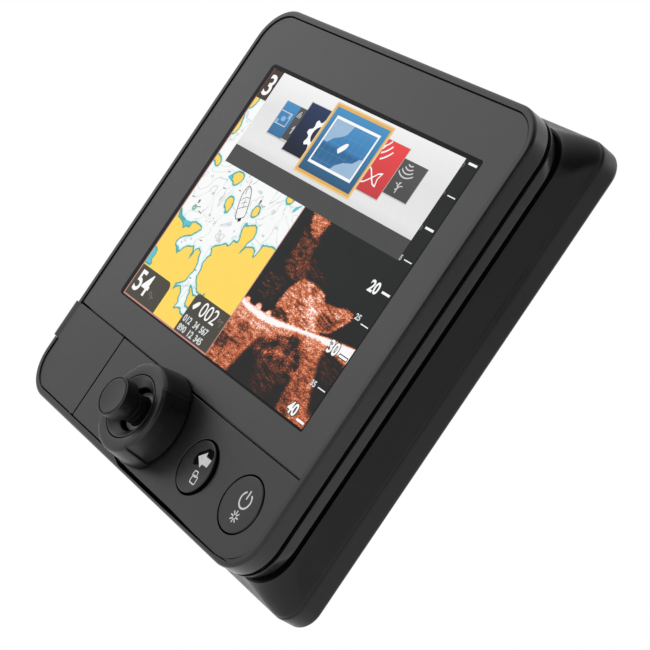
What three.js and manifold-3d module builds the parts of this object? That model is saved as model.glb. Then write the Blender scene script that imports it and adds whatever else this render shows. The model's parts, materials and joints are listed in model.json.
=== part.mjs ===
// Chartplotter display: a square marine instrument with a 5.7-inch 4:3 picture, a card door,
// a rotary knob with a joystick in its middle, and two push keys.
//
// Millimetres. X to the viewer's right, Z up, the picture faces -Y, so depth runs along +Y.
// Pieces are drawn around the centre of the picture, with the face of the window at y = 0, and
// the whole group is then moved so that its origin is the centre of the rear mounting face.
import * as THREE from "three";
import { mergeVertices } from "three/addons/utils/BufferGeometryUtils.js";
import Module from "manifold-3d";

const wasm = await Module();
wasm.setup();

// ---------------------------------------------------------------- driving dimensions
// In every table "front" and "back" are depths (y), and r is a radius.
const FACE = { x0: -77.6, x1: 71.3, z0: -85.7, z1: 63.3, r: 13 }; // outline of the front
const RIM_WIDTH = 2.2; // rim round the window and panel
const RIM_PROUD = 0.4; // the rim stands this far in front of the window
const RIM_CLEARANCE = 0.35; // between the rim and the plates
const SEAM_Z = -53.9; // seam between the window and the panel under it
const SEAM_X = -42.25; // seam between the card door and the panel
const HALF_GAP = 0.2; // half of a visible seam
const PLATE_THICKNESS = 1.5; // window, panel and door
const PLATE_CORNER = 0.4; // corner radius of the plates at the seams
const BULKHEAD = { front: 1.9, back: 3.9 }; // wall in the bezel that the plates are bonded to
const BEZEL_BACK = 6.4; // back edge of the bezel's side wall
const WALL = 2.5; // plastic wall thickness
const STRIP = { front: 6.9, back: 9.5 }; // visible edge of the middle frame
const FRAME_BACK = 12.6;
const SKIRT = { front: 12.0, back: 20.5 }; // flared skirt of the rear housing
const FLARE = 3.75; // how far the skirt spreads beyond the front outline
const BAND_BACK = 26.6; // end of the straight band round the back
const HOUSING_BACK = 28.0; // flat back of the housing
const POD = { x0: -49.15, x1: 42.85, z0: -53.2, z1: 30.8, r: 10, back: 46 }; // deep middle box
const KNOB = {
  x: -2.4, z: -67.3,
  base: 0.6, top: 10.3, // heights in front of the window
  baseRadius: 15.5, topRadius: 14.2, scallopRadius: 14.75,
};
const TRIM = { r: 10.1, innerRadius: 7.0, innerHeight: 8.2, base: 7.2 };
const STICK = { top: 17.6, r: 6.35, underside: 12.9, waistRadius: 4.3 };
const PIVOT_Y = 5.0; // depth of the joystick's pivot
const HOME = { x: 27.6, z: -69.5, r: 8.25, holeRadius: 8.55, proud: 1.2 };
const POWER = { x: 53.6, z: -69.3, r: 8.55, holeRadius: 8.85, proud: 0.15 };
const KEYS = [HOME, POWER];
// Card door pivot; lugBottom is the lower end of the bezel's upper lug.
const HINGE = {
  x: -46.0, y: 1.5, pinRadius: 0.6, holeRadius: 0.75, barrelRadius: 1.4,
  seatRadius: 0.7, lugBottom: -56.4, pinTop: -54.75,
};
const KEY_BOARD = { front: 9.8, back: 11.0 };
const MAIN_BOARD = { front: 14.4, back: 16.0 };
const SCREW_INSET = 9.5;
const SCREW_HOLE = 1.75; // radius in the bezel and the middle frame
const SOCKET = { x: -3.15, z: -69.5 };
const VENT = { x: 46, z: -69.5 };
const SEAT_Y = HOUSING_BACK - 0.6; // floor of the shallow seats round the socket and the vent
const ORIGIN = { x: (POD.x0 + POD.x1) / 2, y: POD.back, z: (POD.z0 + POD.z1) / 2 };

const CASE_SCREWS = [
  { x: FACE.x1 - SCREW_INSET, z: FACE.z1 - SCREW_INSET },
  { x: FACE.x0 + SCREW_INSET, z: FACE.z1 - SCREW_INSET },
  { x: FACE.x0 + SCREW_INSET, z: FACE.z0 + SCREW_INSET },
  { x: FACE.x1 - SCREW_INSET, z: FACE.z0 + SCREW_INSET },
];
const BOARD_SCREWS = [
  { x: -58, z: 38 },
  { x: 50, z: 38 },
  { x: -44, z: -58 },
  { x: 50, z: -58 },
];
// Threaded inserts, placed about the centre of the mounting face.
const INSERTS = [[-25, -20], [25, -20], [25, 20], [-25, 20]].map(([x, z]) => ({
  x: ORIGIN.x + x,
  z: ORIGIN.z + z,
}));

// ---------------------------------------------------------------- outlines
// An outline is a counter-clockwise list of [x, z] points.
const vectors = (pairs) => pairs.map(([a, b]) => new THREE.Vector2(a, b));

// radius is one number, or [top right, top left, bottom left, bottom right].
const roundedRect = (x0, x1, z0, z1, radius = 0, steps = 2) => {
  const radii = Array.isArray(radius) ? radius : Array(4).fill(radius);
  return radii.flatMap((r, corner) => {
    const centreX = corner === 1 || corner === 2 ? x0 + r : x1 - r;
    const centreZ = corner < 2 ? z1 - r : z0 + r;
    if (r === 0) return [[centreX, centreZ]];
    return Array.from({ length: steps + 1 }, (_, i) => {
      const angle = (Math.PI / 2) * (corner + i / steps);
      return [centreX + r * Math.cos(angle), centreZ + r * Math.sin(angle)];
    });
  });
};
const centredRect = (halfX, halfZ, radius) => roundedRect(-halfX, halfX, -halfZ, halfZ, radius);

// A box outline moved inwards by distance, or outwards where it is negative.
const insetBox = (box, distance, r = box.r - distance) =>
  roundedRect(box.x0 + distance, box.x1 - distance, box.z0 + distance, box.z1 - distance, r, 4);
const insetFace = (distance, r) => insetBox(FACE, distance, r);

// Round shapes have a multiple of four sides and start half a side round, so that they line up.
const ring = (at, radius, sides = 8) =>
  Array.from({ length: sides }, (_, i) => {
    const angle = (2 * Math.PI * (i + 0.5)) / sides;
    return [at.x + radius * Math.cos(angle), at.z + radius * Math.sin(angle)];
  });

// ---------------------------------------------------------------- basic shapes
const extrude = (shape, depth) =>
  new THREE.ExtrudeGeometry(shape, { depth, bevelEnabled: false, steps: 1 });

// An outline pushed from depth y0 to depth y1.
const plate = (outline, y0, y1, holes = []) => {
  const shape = new THREE.Shape(vectors(outline));
  shape.holes = holes.map((hole) => new THREE.Path(vectors(hole)));
  return extrude(shape, y1 - y0).rotateX(Math.PI / 2).translate(0, y1, 0);
};

// A closed skin over [y, outline] levels, whose outlines all have the same number of points.
const loft = (levels) => {
  const count = levels[0][1].length;
  const positions = levels.flatMap(([y, outline]) => outline.flatMap(([x, z]) => [x, y, z]));
  const indices = [];
  for (let level = 0; level + 1 < levels.length; level++)
    for (let i = 0; i < count; i++) {
      const a = level * count + i;
      const b = level * count + ((i + 1) % count);
      const c = a + count;
      const d = b + count;
      indices.push(a, b, c, b, d, c);
    }
  const triangulate = (outline) => THREE.ShapeUtils.triangulateShape(vectors(outline), []);
  for (const [a, b, c] of triangulate(levels[0][1])) indices.push(a, c, b);
  const last = (levels.length - 1) * count;
  for (const [a, b, c] of triangulate(levels.at(-1)[1])) indices.push(last + a, last + b, last + c);
  const geometry = new THREE.BufferGeometry();
  geometry.setAttribute("position", new THREE.Float32BufferAttribute(positions, 3));
  geometry.setIndex(indices);
  return geometry;
};

// A turned piece about an axis along Y; the profile is [radius, y] pairs.
const turned = (at, profile, sides = 8) =>
  new THREE.LatheGeometry(vectors(profile), sides, Math.PI / sides).translate(at.x, 0, at.z);
const tube = (at, inner, outer, y0, y1, sides) =>
  turned(at, [[inner, y0], [outer, y0], [outer, y1], [inner, y1], [inner, y0]], sides);
const disc = (at, radius, y0, y1, sides) =>
  turned(at, [[0, y0], [radius, y0], [radius, y1], [0, y1]], sides);

const rodX = (x0, x1, y, z, radius, sides = 8) =>
  new THREE.CylinderGeometry(radius, radius, x1 - x0, sides)
    .rotateZ(Math.PI / 2)
    .translate((x0 + x1) / 2, y, z);
const rodZ = (z0, z1, x, y, radius) =>
  new THREE.CylinderGeometry(radius, radius, z1 - z0, 8)
    .rotateX(Math.PI / 2)
    .translate(x, y, (z0 + z1) / 2);
const block = (x0, x1, y0, y1, z0, z1) =>
  new THREE.BoxGeometry(x1 - x0, y1 - y0, z1 - z0)
    .translate((x0 + x1) / 2, (y0 + y1) / 2, (z0 + z1) / 2);

// A strip of even thickness along a line of [y, z] points, wide along X.
const strip = (line, thickness, x0, x1) => {
  const left = [];
  const right = [];
  line.forEach(([y, z], i) => {
    const before = line[Math.max(i - 1, 0)];
    const after = line[Math.min(i + 1, line.length - 1)];
    const dy = after[0] - before[0];
    const dz = after[1] - before[1];
    const length = Math.hypot(dy, dz);
    const offsetY = (dz / length) * (thickness / 2);
    const offsetZ = (dy / length) * (thickness / 2);
    left.push([y - offsetY, z + offsetZ]);
    right.push([y + offsetY, z - offsetZ]);
  });
  const shape = new THREE.Shape(vectors([...left, ...right.reverse()]));
  // shape x -> Y, shape y -> Z, depth -> X
  const turn = new THREE.Matrix4().set(0, 0, 1, x0, 1, 0, 0, 0, 0, 1, 0, 0, 0, 0, 0, 1);
  return extrude(shape, x1 - x0).applyMatrix4(turn);
};

// ---------------------------------------------------------------- solids
// A geometry as a Manifold solid, facing outwards; a solid is passed through.
const toSolid = (shape) => {
  if (!(shape instanceof THREE.BufferGeometry)) return shape;
  const bare = new THREE.BufferGeometry();
  bare.setAttribute("position", shape.getAttribute("position").clone());
  if (shape.index) bare.setIndex(shape.index.clone());
  const merged = mergeVertices(bare, 1e-4);
  const vertProperties = merged.getAttribute("position").array;
  const triVerts = new Uint32Array(merged.index.array);
  const build = () =>
    new wasm.Manifold(new wasm.Mesh({ numProp: 3, vertProperties, triVerts }));
  const built = build();
  if (built.volume() >= 0) return built;
  for (let i = 0; i < triVerts.length; i += 3)
    [triVerts[i + 1], triVerts[i + 2]] = [triVerts[i + 2], triVerts[i + 1]];
  return build();
};
const join = (first, ...more) => more.reduce((sum, next) => sum.add(toSolid(next)), toSolid(first));
const cut = (first, ...tools) =>
  tools.reduce((rest, tool) => rest.subtract(toSolid(tool)), toSolid(first));

// ---------------------------------------------------------------- materials and group
const MATERIALS = {
  bezel: { color: 0x3c3d3f, roughness: 0.5, metalness: 0 },
  panel: { color: 0x434446, roughness: 0.45, metalness: 0 },
  window: { color: 0x3e4042, roughness: 0.2, metalness: 0 },
  housing: { color: 0x232426, roughness: 0.6, metalness: 0 },
  frame: { color: 0x3a3b3d, roughness: 0.5, metalness: 0 },
  knob: { color: 0x2b2c2e, roughness: 0.6, metalness: 0 },
  key: { color: 0x3c3d3f, roughness: 0.5, metalness: 0 },
  rubber: { color: 0x0c0c0d, roughness: 0.85, metalness: 0 },
  foam: { color: 0x151516, roughness: 0.95, metalness: 0 },
  lcd: { color: 0x1c2126, roughness: 0.15, metalness: 0 },
  tin: { color: 0xb9bcc0, roughness: 0.35, metalness: 0.9 },
  aluminium: { color: 0xa6a9ad, roughness: 0.4, metalness: 0.9 },
  steel: { color: 0x9a9da0, roughness: 0.3, metalness: 1 },
  brass: { color: 0xb08a45, roughness: 0.3, metalness: 1 },
  board: { color: 0x17472b, roughness: 0.5, metalness: 0 },
  flex: { color: 0x9b5a20, roughness: 0.45, metalness: 0 },
  ceramic: { color: 0xd9d2bf, roughness: 0.6, metalness: 0 },
  component: { color: 0x1b1b1d, roughness: 0.6, metalness: 0 },
};
const unit = new THREE.Group();
unit.position.set(-ORIGIN.x, -ORIGIN.y, -ORIGIN.z);

const piece = (name, shape, material) => {
  const built = toSolid(shape).getMesh();
  const geometry = new THREE.BufferGeometry();
  const positions = new Float32Array(built.vertProperties);
  geometry.setAttribute("position", new THREE.BufferAttribute(positions, 3));
  geometry.setIndex(new THREE.BufferAttribute(new Uint32Array(built.triVerts), 1));
  geometry.computeVertexNormals();
  const mesh = new THREE.Mesh(geometry, new THREE.MeshStandardMaterial(MATERIALS[material]));
  mesh.name = name;
  unit.add(mesh);
};

// ---------------------------------------------------------------- front
const shrink = (box, by) => ({
  x0: box.x0 + by,
  x1: box.x1 - by,
  z0: box.z0 + by,
  z1: box.z1 - by,
  r: box.r - by,
});
const RECESS = shrink(FACE, RIM_WIDTH); // inside the rim
const PLATES = shrink(RECESS, RIM_CLEARANCE); // outline of window, panel and door together

function frontBezel() {
  const shell = cut(
    loft([
      [-RIM_PROUD, insetFace(1.0)],
      [0.7, insetFace(0)],
      [BEZEL_BACK, insetFace(0)],
    ]),
    plate(insetFace(RIM_WIDTH), -5, BULKHEAD.front), // recess for the plates
    plate(insetFace(WALL), BULKHEAD.back, 20), // hollow behind the bulkhead
  );
  const opened = cut(
    join(shell, ...CASE_SCREWS.map((at) => disc(at, 3.3, BULKHEAD.back - 0.5, BEZEL_BACK))),
    ...CASE_SCREWS.map((at) => disc(at, SCREW_HOLE, BULKHEAD.back + 0.2, 20)),
    plate(centredRect(60.5, 46.5, 1), -5, 10), // display opening
    plate(roundedRect(-68.5, -48.5, -76.5, -60.5, 1.5), -5, 4.0), // card bay opening
    disc(KNOB, 9.6, -5, 10, 16),
    ...KEYS.map((at) => disc(at, 10.2, -5, 4.0, 12)),
    block(-90, RECESS.x0 + 1, -5, 3.6, -68.1, -54.05), // rim gap for the door's finger grip
    // room for the door's hinge edge to turn into
    block(HINGE.x - 1.9, -42.0, -5, 5.2, PLATES.z0 - 0.1, SEAM_Z - 0.1),
    rodZ(-84.9, -83, HINGE.x, HINGE.y, HINGE.seatRadius), // lower seat of the hinge pin
  );
  // upper seat of the hinge pin: a round lug on a neck from the bulkhead
  const { x, y, lugBottom } = HINGE;
  const neck = [x - 0.55, x + 0.55];
  const lugTop = -54.5;
  return cut(
    join(
      opened,
      block(...neck, BULKHEAD.front + 0.05, BULKHEAD.back, lugBottom, -53.0),
      block(...neck, y, BULKHEAD.front + 0.2, lugBottom, lugTop),
      rodZ(lugBottom, lugTop, x, y, 1.0),
    ),
    rodZ(-60, -54.65, x, y, HINGE.seatRadius),
  );
}
piece("front_bezel", frontBezel(), "bezel");

const windowOutline = roundedRect(
  PLATES.x0, PLATES.x1, SEAM_Z + HALF_GAP, PLATES.z1,
  [PLATES.r, PLATES.r, PLATE_CORNER, PLATE_CORNER], 4,
);
piece("display_window", plate(windowOutline, 0, PLATE_THICKNESS), "window");

const windowBond = roundedRect(-72, 66, -52, 58, 6);
piece(
  "window_adhesive",
  plate(windowBond, PLATE_THICKNESS, BULKHEAD.front, [centredRect(61.5, 47.5, 1)]),
  "foam",
);

const panelOutline = roundedRect(
  SEAM_X + HALF_GAP, PLATES.x1, PLATES.z0, SEAM_Z - HALF_GAP,
  [PLATE_CORNER, PLATE_CORNER, PLATE_CORNER, PLATES.r], 4,
);
piece(
  "control_panel",
  plate(panelOutline, 0, PLATE_THICKNESS, [
    ring(KNOB, 9.3, 16),
    ...KEYS.map((key) => ring(key, key.holeRadius, 24)),
  ]),
  "panel",
);

const panelBond = roundedRect(-40.5, 67.5, -81.9, -55.4, [1, 1, 1, 9]);
const bondHoles = [KNOB, ...KEYS].map((at) => ring(at, 10.6, 12));
piece("panel_adhesive", plate(panelBond, PLATE_THICKNESS, BULKHEAD.front, bondHoles), "foam");

// ---------------------------------------------------------------- card door
function cardDoor() {
  const right = SEAM_X - HALF_GAP;
  const outline = roundedRect(
    PLATES.x0, right, PLATES.z0, SEAM_Z - HALF_GAP,
    [PLATE_CORNER, PLATE_CORNER, PLATES.r, PLATE_CORNER], 4,
  );
  const { x, y, lugBottom } = HINGE;
  return cut(
    join(
      plate(outline, 0, PLATE_THICKNESS),
      block(-78.8, PLATES.x0 + 0.3, 0, 3.2, -67.8, -54.35), // finger grip over the case edge
      rodZ(PLATES.z0 + 0.6, lugBottom - 0.2, x, y, HINGE.barrelRadius),
    ),
    rodZ(-100, -40, x, y, HINGE.holeRadius),
    block(x - 2.2, right + 1, 0.45, 5, lugBottom - 0.15, -50), // pocket round the upper lug
  );
}
piece("card_door", cardDoor(), "panel");
piece(
  "card_door_hinge_pin",
  rodZ(-84.7, HINGE.pinTop, HINGE.x, HINGE.y, HINGE.pinRadius),
  "steel",
);
piece(
  "card_door_seal",
  plate(roundedRect(-71.6, -48.0, -79.2, -57.4, 2.5), PLATE_THICKNESS, 1.85, [
    roundedRect(-70.0, -49.4, -77.6, -59.0, 1.5),
  ]),
  "rubber",
);

// ---------------------------------------------------------------- knob
function rotaryKnob() {
  // A round outline whose left and right flanks have their own radius.
  const outline = (capRadius, flankRadius) => {
    const points = 36;
    return Array.from({ length: points }, (_, i) => {
      const angle = (2 * Math.PI * (i + 0.5)) / points;
      const degrees = (angle * 180) / Math.PI;
      // 0 at left and right, 90 at top and bottom
      const steepness = Math.abs(((degrees + 90) % 180) - 90);
      const radius = steepness < 47 ? flankRadius : capRadius;
      return [KNOB.x + radius * Math.cos(angle), KNOB.z + radius * Math.sin(angle)];
    });
  };
  return cut(
    loft([
      [-KNOB.top, outline(12.9, 12.9)],
      [-9.1, outline(KNOB.topRadius, 13.95)],
      [-5.0, outline(14.8, 14.3)],
      [-KNOB.base, outline(KNOB.baseRadius, KNOB.scallopRadius)],
    ]),
    disc(KNOB, TRIM.r + 0.2, -20, -7.0, 28), // seat of the trim ring
    disc(KNOB, 8.8, -20, 5, 16), // bore
  );
}
piece("rotary_knob", rotaryKnob(), "knob");

const trimProfile = [
  [TRIM.innerRadius, -TRIM.base],
  [TRIM.r, -TRIM.base],
  [TRIM.r, -KNOB.top],
  [TRIM.r - 0.4, -KNOB.top],
  [TRIM.innerRadius, -TRIM.innerHeight],
  [TRIM.innerRadius, -TRIM.base],
];
piece("knob_trim_ring", turned(KNOB, trimProfile, 28), "knob");
piece(
  "encoder_rotor",
  join(tube(KNOB, 7.7, 8.55, -3.2, 7.4, 16), tube(KNOB, 8.3, 11.0, 5.4, 6.4, 16)),
  "component",
);
piece(
  "encoder_body",
  cut(tube(KNOB, 8.85, 12.6, 4.3, KEY_BOARD.front, 16), tube(KNOB, 8.0, 11.3, 5.1, 6.7, 16)),
  "component",
);

// ---------------------------------------------------------------- joystick in the knob
const capProfile = [
  [0, -STICK.top],
  [5.75, -STICK.top],
  [STICK.r, -(STICK.top - 0.5)],
  [STICK.r, -STICK.underside],
  [2.75, -STICK.underside],
  [2.75, -15.6],
  [0, -15.6],
];
piece("joystick_cap", turned(KNOB, capProfile, 24), "knob");
piece("joystick_stem", disc(KNOB, 2.5, -15.4, 7.9, 12), "component");

const bootProfile = [
  [2.7, -12.7],
  [5.0, -12.7],
  [STICK.waistRadius, -9.8],
  [4.5, -6.2],
  [6.3, -6.0],
  [6.3, -5.2],
  [3.4, -4.6],
  [2.7, -4.6],
  [2.7, -12.7],
];
piece("joystick_boot", turned(KNOB, bootProfile, 16), "rubber");

// A ring round the stem, with pins above and below that turn in the gimbal.
piece(
  "joystick_cradle",
  cut(
    join(
      tube(KNOB, 2.7, 3.5, PIVOT_Y - 1, PIVOT_Y + 1, 12),
      rodZ(KNOB.z - 5.1, KNOB.z - 3.0, KNOB.x, PIVOT_Y, 0.7),
      rodZ(KNOB.z + 3.0, KNOB.z + 5.1, KNOB.x, PIVOT_Y, 0.7),
    ),
    disc(KNOB, 2.7, PIVOT_Y - 3, PIVOT_Y + 3, 12),
  ),
  "component",
);
// A ring round the cradle, with pins left and right that turn in the housing.
piece(
  "joystick_gimbal",
  cut(
    join(
      tube(KNOB, 4.4, 5.5, PIVOT_Y - 1.2, PIVOT_Y + 1.2, 12),
      rodX(KNOB.x - 7.0, KNOB.x - 4.9, PIVOT_Y, KNOB.z, 0.8),
      rodX(KNOB.x + 4.9, KNOB.x + 7.0, PIVOT_Y, KNOB.z, 0.8),
    ),
    disc(KNOB, 4.4, PIVOT_Y - 3, PIVOT_Y + 3, 12),
    rodZ(KNOB.z - 8, KNOB.z + 8, KNOB.x, PIVOT_Y, 0.85),
  ),
  "component",
);
piece(
  "joystick_housing",
  cut(
    join(
      tube(KNOB, 6.4, 7.4, 3.1, KEY_BOARD.front, 12),
      disc(KNOB, 6.9, 9.3, KEY_BOARD.front, 12),
    ),
    rodX(KNOB.x - 9, KNOB.x + 9, PIVOT_Y, KNOB.z, 0.95),
  ),
  "component",
);
piece("joystick_press_dome", disc(KNOB, 2.4, 8.95, 9.3), "steel");

// ---------------------------------------------------------------- push keys and their board
// A cap with a chamfered edge, a wider flange behind it and a plunger.
const pushKey = (key) => {
  const edge = 0.4;
  const cap = [
    [0, -key.proud],
    [key.r - edge, -key.proud],
    [key.r, -key.proud + edge],
    [key.r, 2.1],
    [0, 2.1],
  ];
  return join(turned(key, cap, 24), disc(key, 9.7, 2.0, 3.0, 12), disc(key, 2.0, 2.9, 7.3));
};
const keySwitch = ({ x, z }) =>
  join(
    block(x - 3, x + 3, 8.6, KEY_BOARD.front, z - 3, z + 3),
    disc({ x, z }, 1.6, 8.25, 8.8),
  );
const membraneHoles = KEYS.map((key) => ring(key, 2.4));
const keyBoardOutline = roundedRect(-38, 57.5, -80, -56, 1);

piece("home_button", pushKey(HOME), "key");
piece("power_button", pushKey(POWER), "key");
piece(
  "keypad_membrane",
  plate(roundedRect(14.5, 58, -81.5, -57.5, 1), 4.1, 4.9, membraneHoles),
  "rubber",
);
piece("home_switch", keySwitch(HOME), "component");
piece("power_switch", keySwitch(POWER), "component");
piece("key_board", plate(keyBoardOutline, KEY_BOARD.front, KEY_BOARD.back), "board");

// ---------------------------------------------------------------- display module
const BACKLIGHT_FRONT = 4.3;
const FLEX_THICKNESS = 0.3;

piece("lcd_panel", plate(centredRect(60.2, 46.2), 2.0, 4.2), "lcd");
piece(
  "lcd_gasket",
  plate(roundedRect(-63.5, 61.8, -49.2, 49.2), BULKHEAD.back, BACKLIGHT_FRONT, [
    roundedRect(-61, 60.9, -47, 47),
  ]),
  "foam",
);
piece(
  "lcd_backlight",
  join(
    plate(roundedRect(-64.2, 62.4, -49.8, 49.8), BACKLIGHT_FRONT, 10.4),
    block(-30, 20, 10.3, 10.9, -40, -34),
  ),
  "tin",
);
// [y, z] points from the backlight round to the main board
const lcdCable = [[11.1, -37], [11.1, -45], [11.6, -47.6], [13.0, -48.6], [14.1, -47.4], [14.1, -42]];
piece("lcd_flex_cable", strip(lcdCable, FLEX_THICKNESS, -28, 12), "flex");

// ---------------------------------------------------------------- middle frame, seals, boards
piece("front_seal", plate(insetFace(0.7), BEZEL_BACK, STRIP.front, [insetFace(2.4)]), "rubber");

function midFrame() {
  const body = join(
    plate(insetFace(0), STRIP.front, STRIP.back, [insetFace(5.2, 9)]), // visible strip
    plate(insetFace(4.4, 9), STRIP.front, FRAME_BACK, [insetFace(5.4, 8)]), // side wall
    plate(insetFace(4.9, 8.5), 11.4, FRAME_BACK), // floor
    ...CASE_SCREWS.map((at) => disc(at, 3.4, STRIP.front, 12.4)),
    ...BOARD_SCREWS.map((at) => disc(at, 2.5, 12.4, MAIN_BOARD.front)),
  );
  return cut(
    body,
    ...CASE_SCREWS.map((at) => disc(at, SCREW_HOLE, 0, 30)),
    block(-30, 14, 10, 20, -51.5, -44.2), // display cable
    block(-20, 8, 10, 20, -64, -56.5), // key cable
    block(-69.5, -50.5, 10, 20, -74.5, -64), // card socket
    ...BOARD_SCREWS.map((at) => disc(at, 1.2, 12.9, 30)),
  );
}
piece("mid_frame", midFrame(), "frame");
piece("rear_seal", plate(insetFace(2.2), STRIP.back, SKIRT.front, [insetFace(4.2, 9.2)]), "rubber");
piece(
  "main_board",
  plate(roundedRect(-62, 54, -62, 42, 1.5), MAIN_BOARD.front, MAIN_BOARD.back, [
    ...BOARD_SCREWS.map((at) => ring(at, 1.6)),
    roundedRect(-30, 14, -51, -49.2),
  ]),
  "board",
);

// A screw on the axis: the shank from tip to seat, then the head.
const screw = (at, shank, head, tip, seat, end) =>
  turned(at, [[0, tip], [shank, tip], [shank, seat], [head, seat], [head, end], [0, end]]);
BOARD_SCREWS.forEach((at, i) =>
  piece(`board_screw_${i + 1}`, screw(at, 1.0, 2.4, 13.1, MAIN_BOARD.back, 17.6), "steel"),
);

piece(
  "sonar_shield",
  cut(
    block(-50, -12, MAIN_BOARD.back, 21.0, -44, -10),
    block(-49.4, -12.6, 15, 20.4, -43.4, -10.6),
  ),
  "tin",
);

function heatSink() {
  const fins = { count: 7, pitch: 5.6, thickness: 2.4 };
  const [left, bottom, top] = [2, -34, 2];
  return join(
    block(left, 38, MAIN_BOARD.back, 18.0, bottom, top),
    ...Array.from({ length: fins.count }, (_, i) => {
      const x = left + i * fins.pitch;
      return block(x, x + fins.thickness, 17.9, 25.5, bottom, top);
    }),
  );
}
piece("processor_heat_sink", heatSink(), "aluminium");
piece(
  "gps_antenna",
  join(block(-16, 9, MAIN_BOARD.back, 20.4, 14, 39), block(-14, 7, 20.3, 20.8, 16, 37)),
  "ceramic",
);
const BUZZER = { x: 36, z: 26 };
piece(
  "alarm_buzzer",
  cut(disc(BUZZER, 7, MAIN_BOARD.back, 21.5, 12), disc(BUZZER, 1.2, 20.5, 30)),
  "component",
);
piece("power_capacitor", rodX(17, 36, 21.2, -42, 5.0, 12), "component");
piece(
  "card_socket",
  cut(
    block(-66.2, -52.8, 5.6, 20.4, -70.6, -67.4),
    block(-65.1, -53.9, 4, 19.4, -69.7, -68.5), // card slot, open to the front
  ),
  "tin",
);
piece("card_board", block(-68.5, -51.0, 5.6, 20.4, -72.0, -70.7), "board");
// [y, z] points from the key board to the main board
const keyCable = [
  [11.2, -57.5], [11.4, -60.4], [12.4, -61.9], [13.6, -61.5], [14.2, -60.2], [14.2, -57.5],
];
piece("key_cable", strip(keyCable, FLEX_THICKNESS, -14, 2), "flex");

// ---------------------------------------------------------------- rear housing
function rearHousing() {
  const innerFlare = WALL - FLARE + 0.6;
  const outside = join(
    loft([
      [SKIRT.front, insetFace(0)],
      [13.2, insetFace(-0.35, 12.6)],
      [16.6, insetFace(-2.1, 10)],
      [SKIRT.back, insetFace(-FLARE, 7.5)],
      [BAND_BACK, insetFace(-FLARE, 7.5)],
      [HOUSING_BACK, insetFace(-FLARE + 1.4, 6.1)],
    ]),
    loft([
      [HOUSING_BACK - 1, insetBox(POD, 0)],
      [POD.back - 1.5, insetBox(POD, 1.0)],
      [POD.back, insetBox(POD, 2.5)],
    ]),
  );
  const shell = cut(
    outside,
    loft([
      [10, insetFace(WALL, 10.5)],
      [SKIRT.front + 0.5, insetFace(WALL, 10.5)],
      [SKIRT.back, insetFace(innerFlare, 6)],
      [HOUSING_BACK - WALL, insetFace(innerFlare, 6)],
    ]),
    plate(insetBox(POD, 3.6, 6.5), 20, POD.back - WALL - 0.3),
  );
  return cut(
    join(
      shell,
      ...CASE_SCREWS.map((at) => disc(at, 3.8, 12.7, HOUSING_BACK - 2)),
      ...INSERTS.map((at) => disc(at, 4.6, 36.5, POD.back - 2)),
    ),
    ...CASE_SCREWS.map((at) => disc(at, 1.8, 0, 40)),
    ...CASE_SCREWS.map((at) => disc(at, 3.4, HOUSING_BACK - 2.6, 60)), // counterbores
    ...INSERTS.map((at) => disc(at, 2.7, 38.5, 60)),
    disc(SOCKET, 10.3, 20, 40, 16),
    disc(SOCKET, 13.6, SEAT_Y, 40, 16),
    disc(VENT, 3.3, 20, 40, 12),
    disc(VENT, 5.4, SEAT_Y, 40, 12),
  );
}
piece("rear_housing", rearHousing(), "housing");
INSERTS.forEach((at, i) =>
  piece(`mount_insert_${i + 1}`, tube(at, 1.65, 2.45, 39.4, POD.back - 0.2), "brass"),
);
CASE_SCREWS.forEach((at, i) =>
  piece(
    `case_screw_${i + 1}`,
    cut(
      screw(at, 1.5, 3.0, 5.0, HOUSING_BACK - 2.5, HOUSING_BACK - 0.5),
      disc(at, 1.4, HOUSING_BACK - 1.6, 40), // driver recess
    ),
    "steel",
  ),
);

// ---------------------------------------------------------------- cable socket and vent
const SEAL_BACK = SEAT_Y + 0.6;
piece(
  "cable_socket",
  join(
    tube(SOCKET, 8.6, 10.0, 21.0, 41.0, 16),
    tube(SOCKET, 8.6, 13.2, SEAL_BACK, HOUSING_BACK + 3.0, 16), // flange
    // rib along the top of the barrel
    block(
      SOCKET.x - 1.4, SOCKET.x + 1.4, HOUSING_BACK + 1, 41.0,
      SOCKET.z + 9.5, SOCKET.z + 11.2,
    ),
  ),
  "component",
);
piece("cable_socket_seal", tube(SOCKET, 10.3, 12.8, SEAT_Y, SEAL_BACK, 16), "rubber");
piece(
  "cable_socket_nut",
  cut(plate(ring(SOCKET, 14), 22.4, HOUSING_BACK - WALL), disc(SOCKET, 10.15, 20, 30, 16)),
  "aluminium",
);

function socketPins() {
  const count = 5;
  const circleRadius = 4.6;
  const pins = ring(SOCKET, 0, count).map((_, i) => {
    const angle = (i * 2 * Math.PI) / count + Math.PI / 2;
    const x = SOCKET.x + circleRadius * Math.cos(angle);
    const z = SOCKET.z + circleRadius * Math.sin(angle);
    return disc({ x, z }, 0.8, 22.6, 35.0);
  });
  return join(disc(SOCKET, 8.4, 24.0, 30.0, 12), ...pins);
}
piece("cable_socket_pins", socketPins(), "brass");
piece(
  "vent_plug",
  join(disc(VENT, 3.1, 24.0, HOUSING_BACK, 12), disc(VENT, 5.0, SEAT_Y, HOUSING_BACK + 0.6, 12)),
  "rubber",
);

export default unit;
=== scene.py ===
"""A display unit with a lit chart and echo picture, a card door, a rotary knob and two keys.

They are drawn in millimetres round the centre of the picture: x right, y back, z up, the window's
face at y = 0. The window fills the front's upper part. Below it are the card door (left) and the
control panel (right). The rear housing closes the back, with its cable socket and mounting
inserts.
"""
import json
import math
import random

import bmesh
import bpy
import numpy as np
from mathutils import Matrix, Vector, noise

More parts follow.
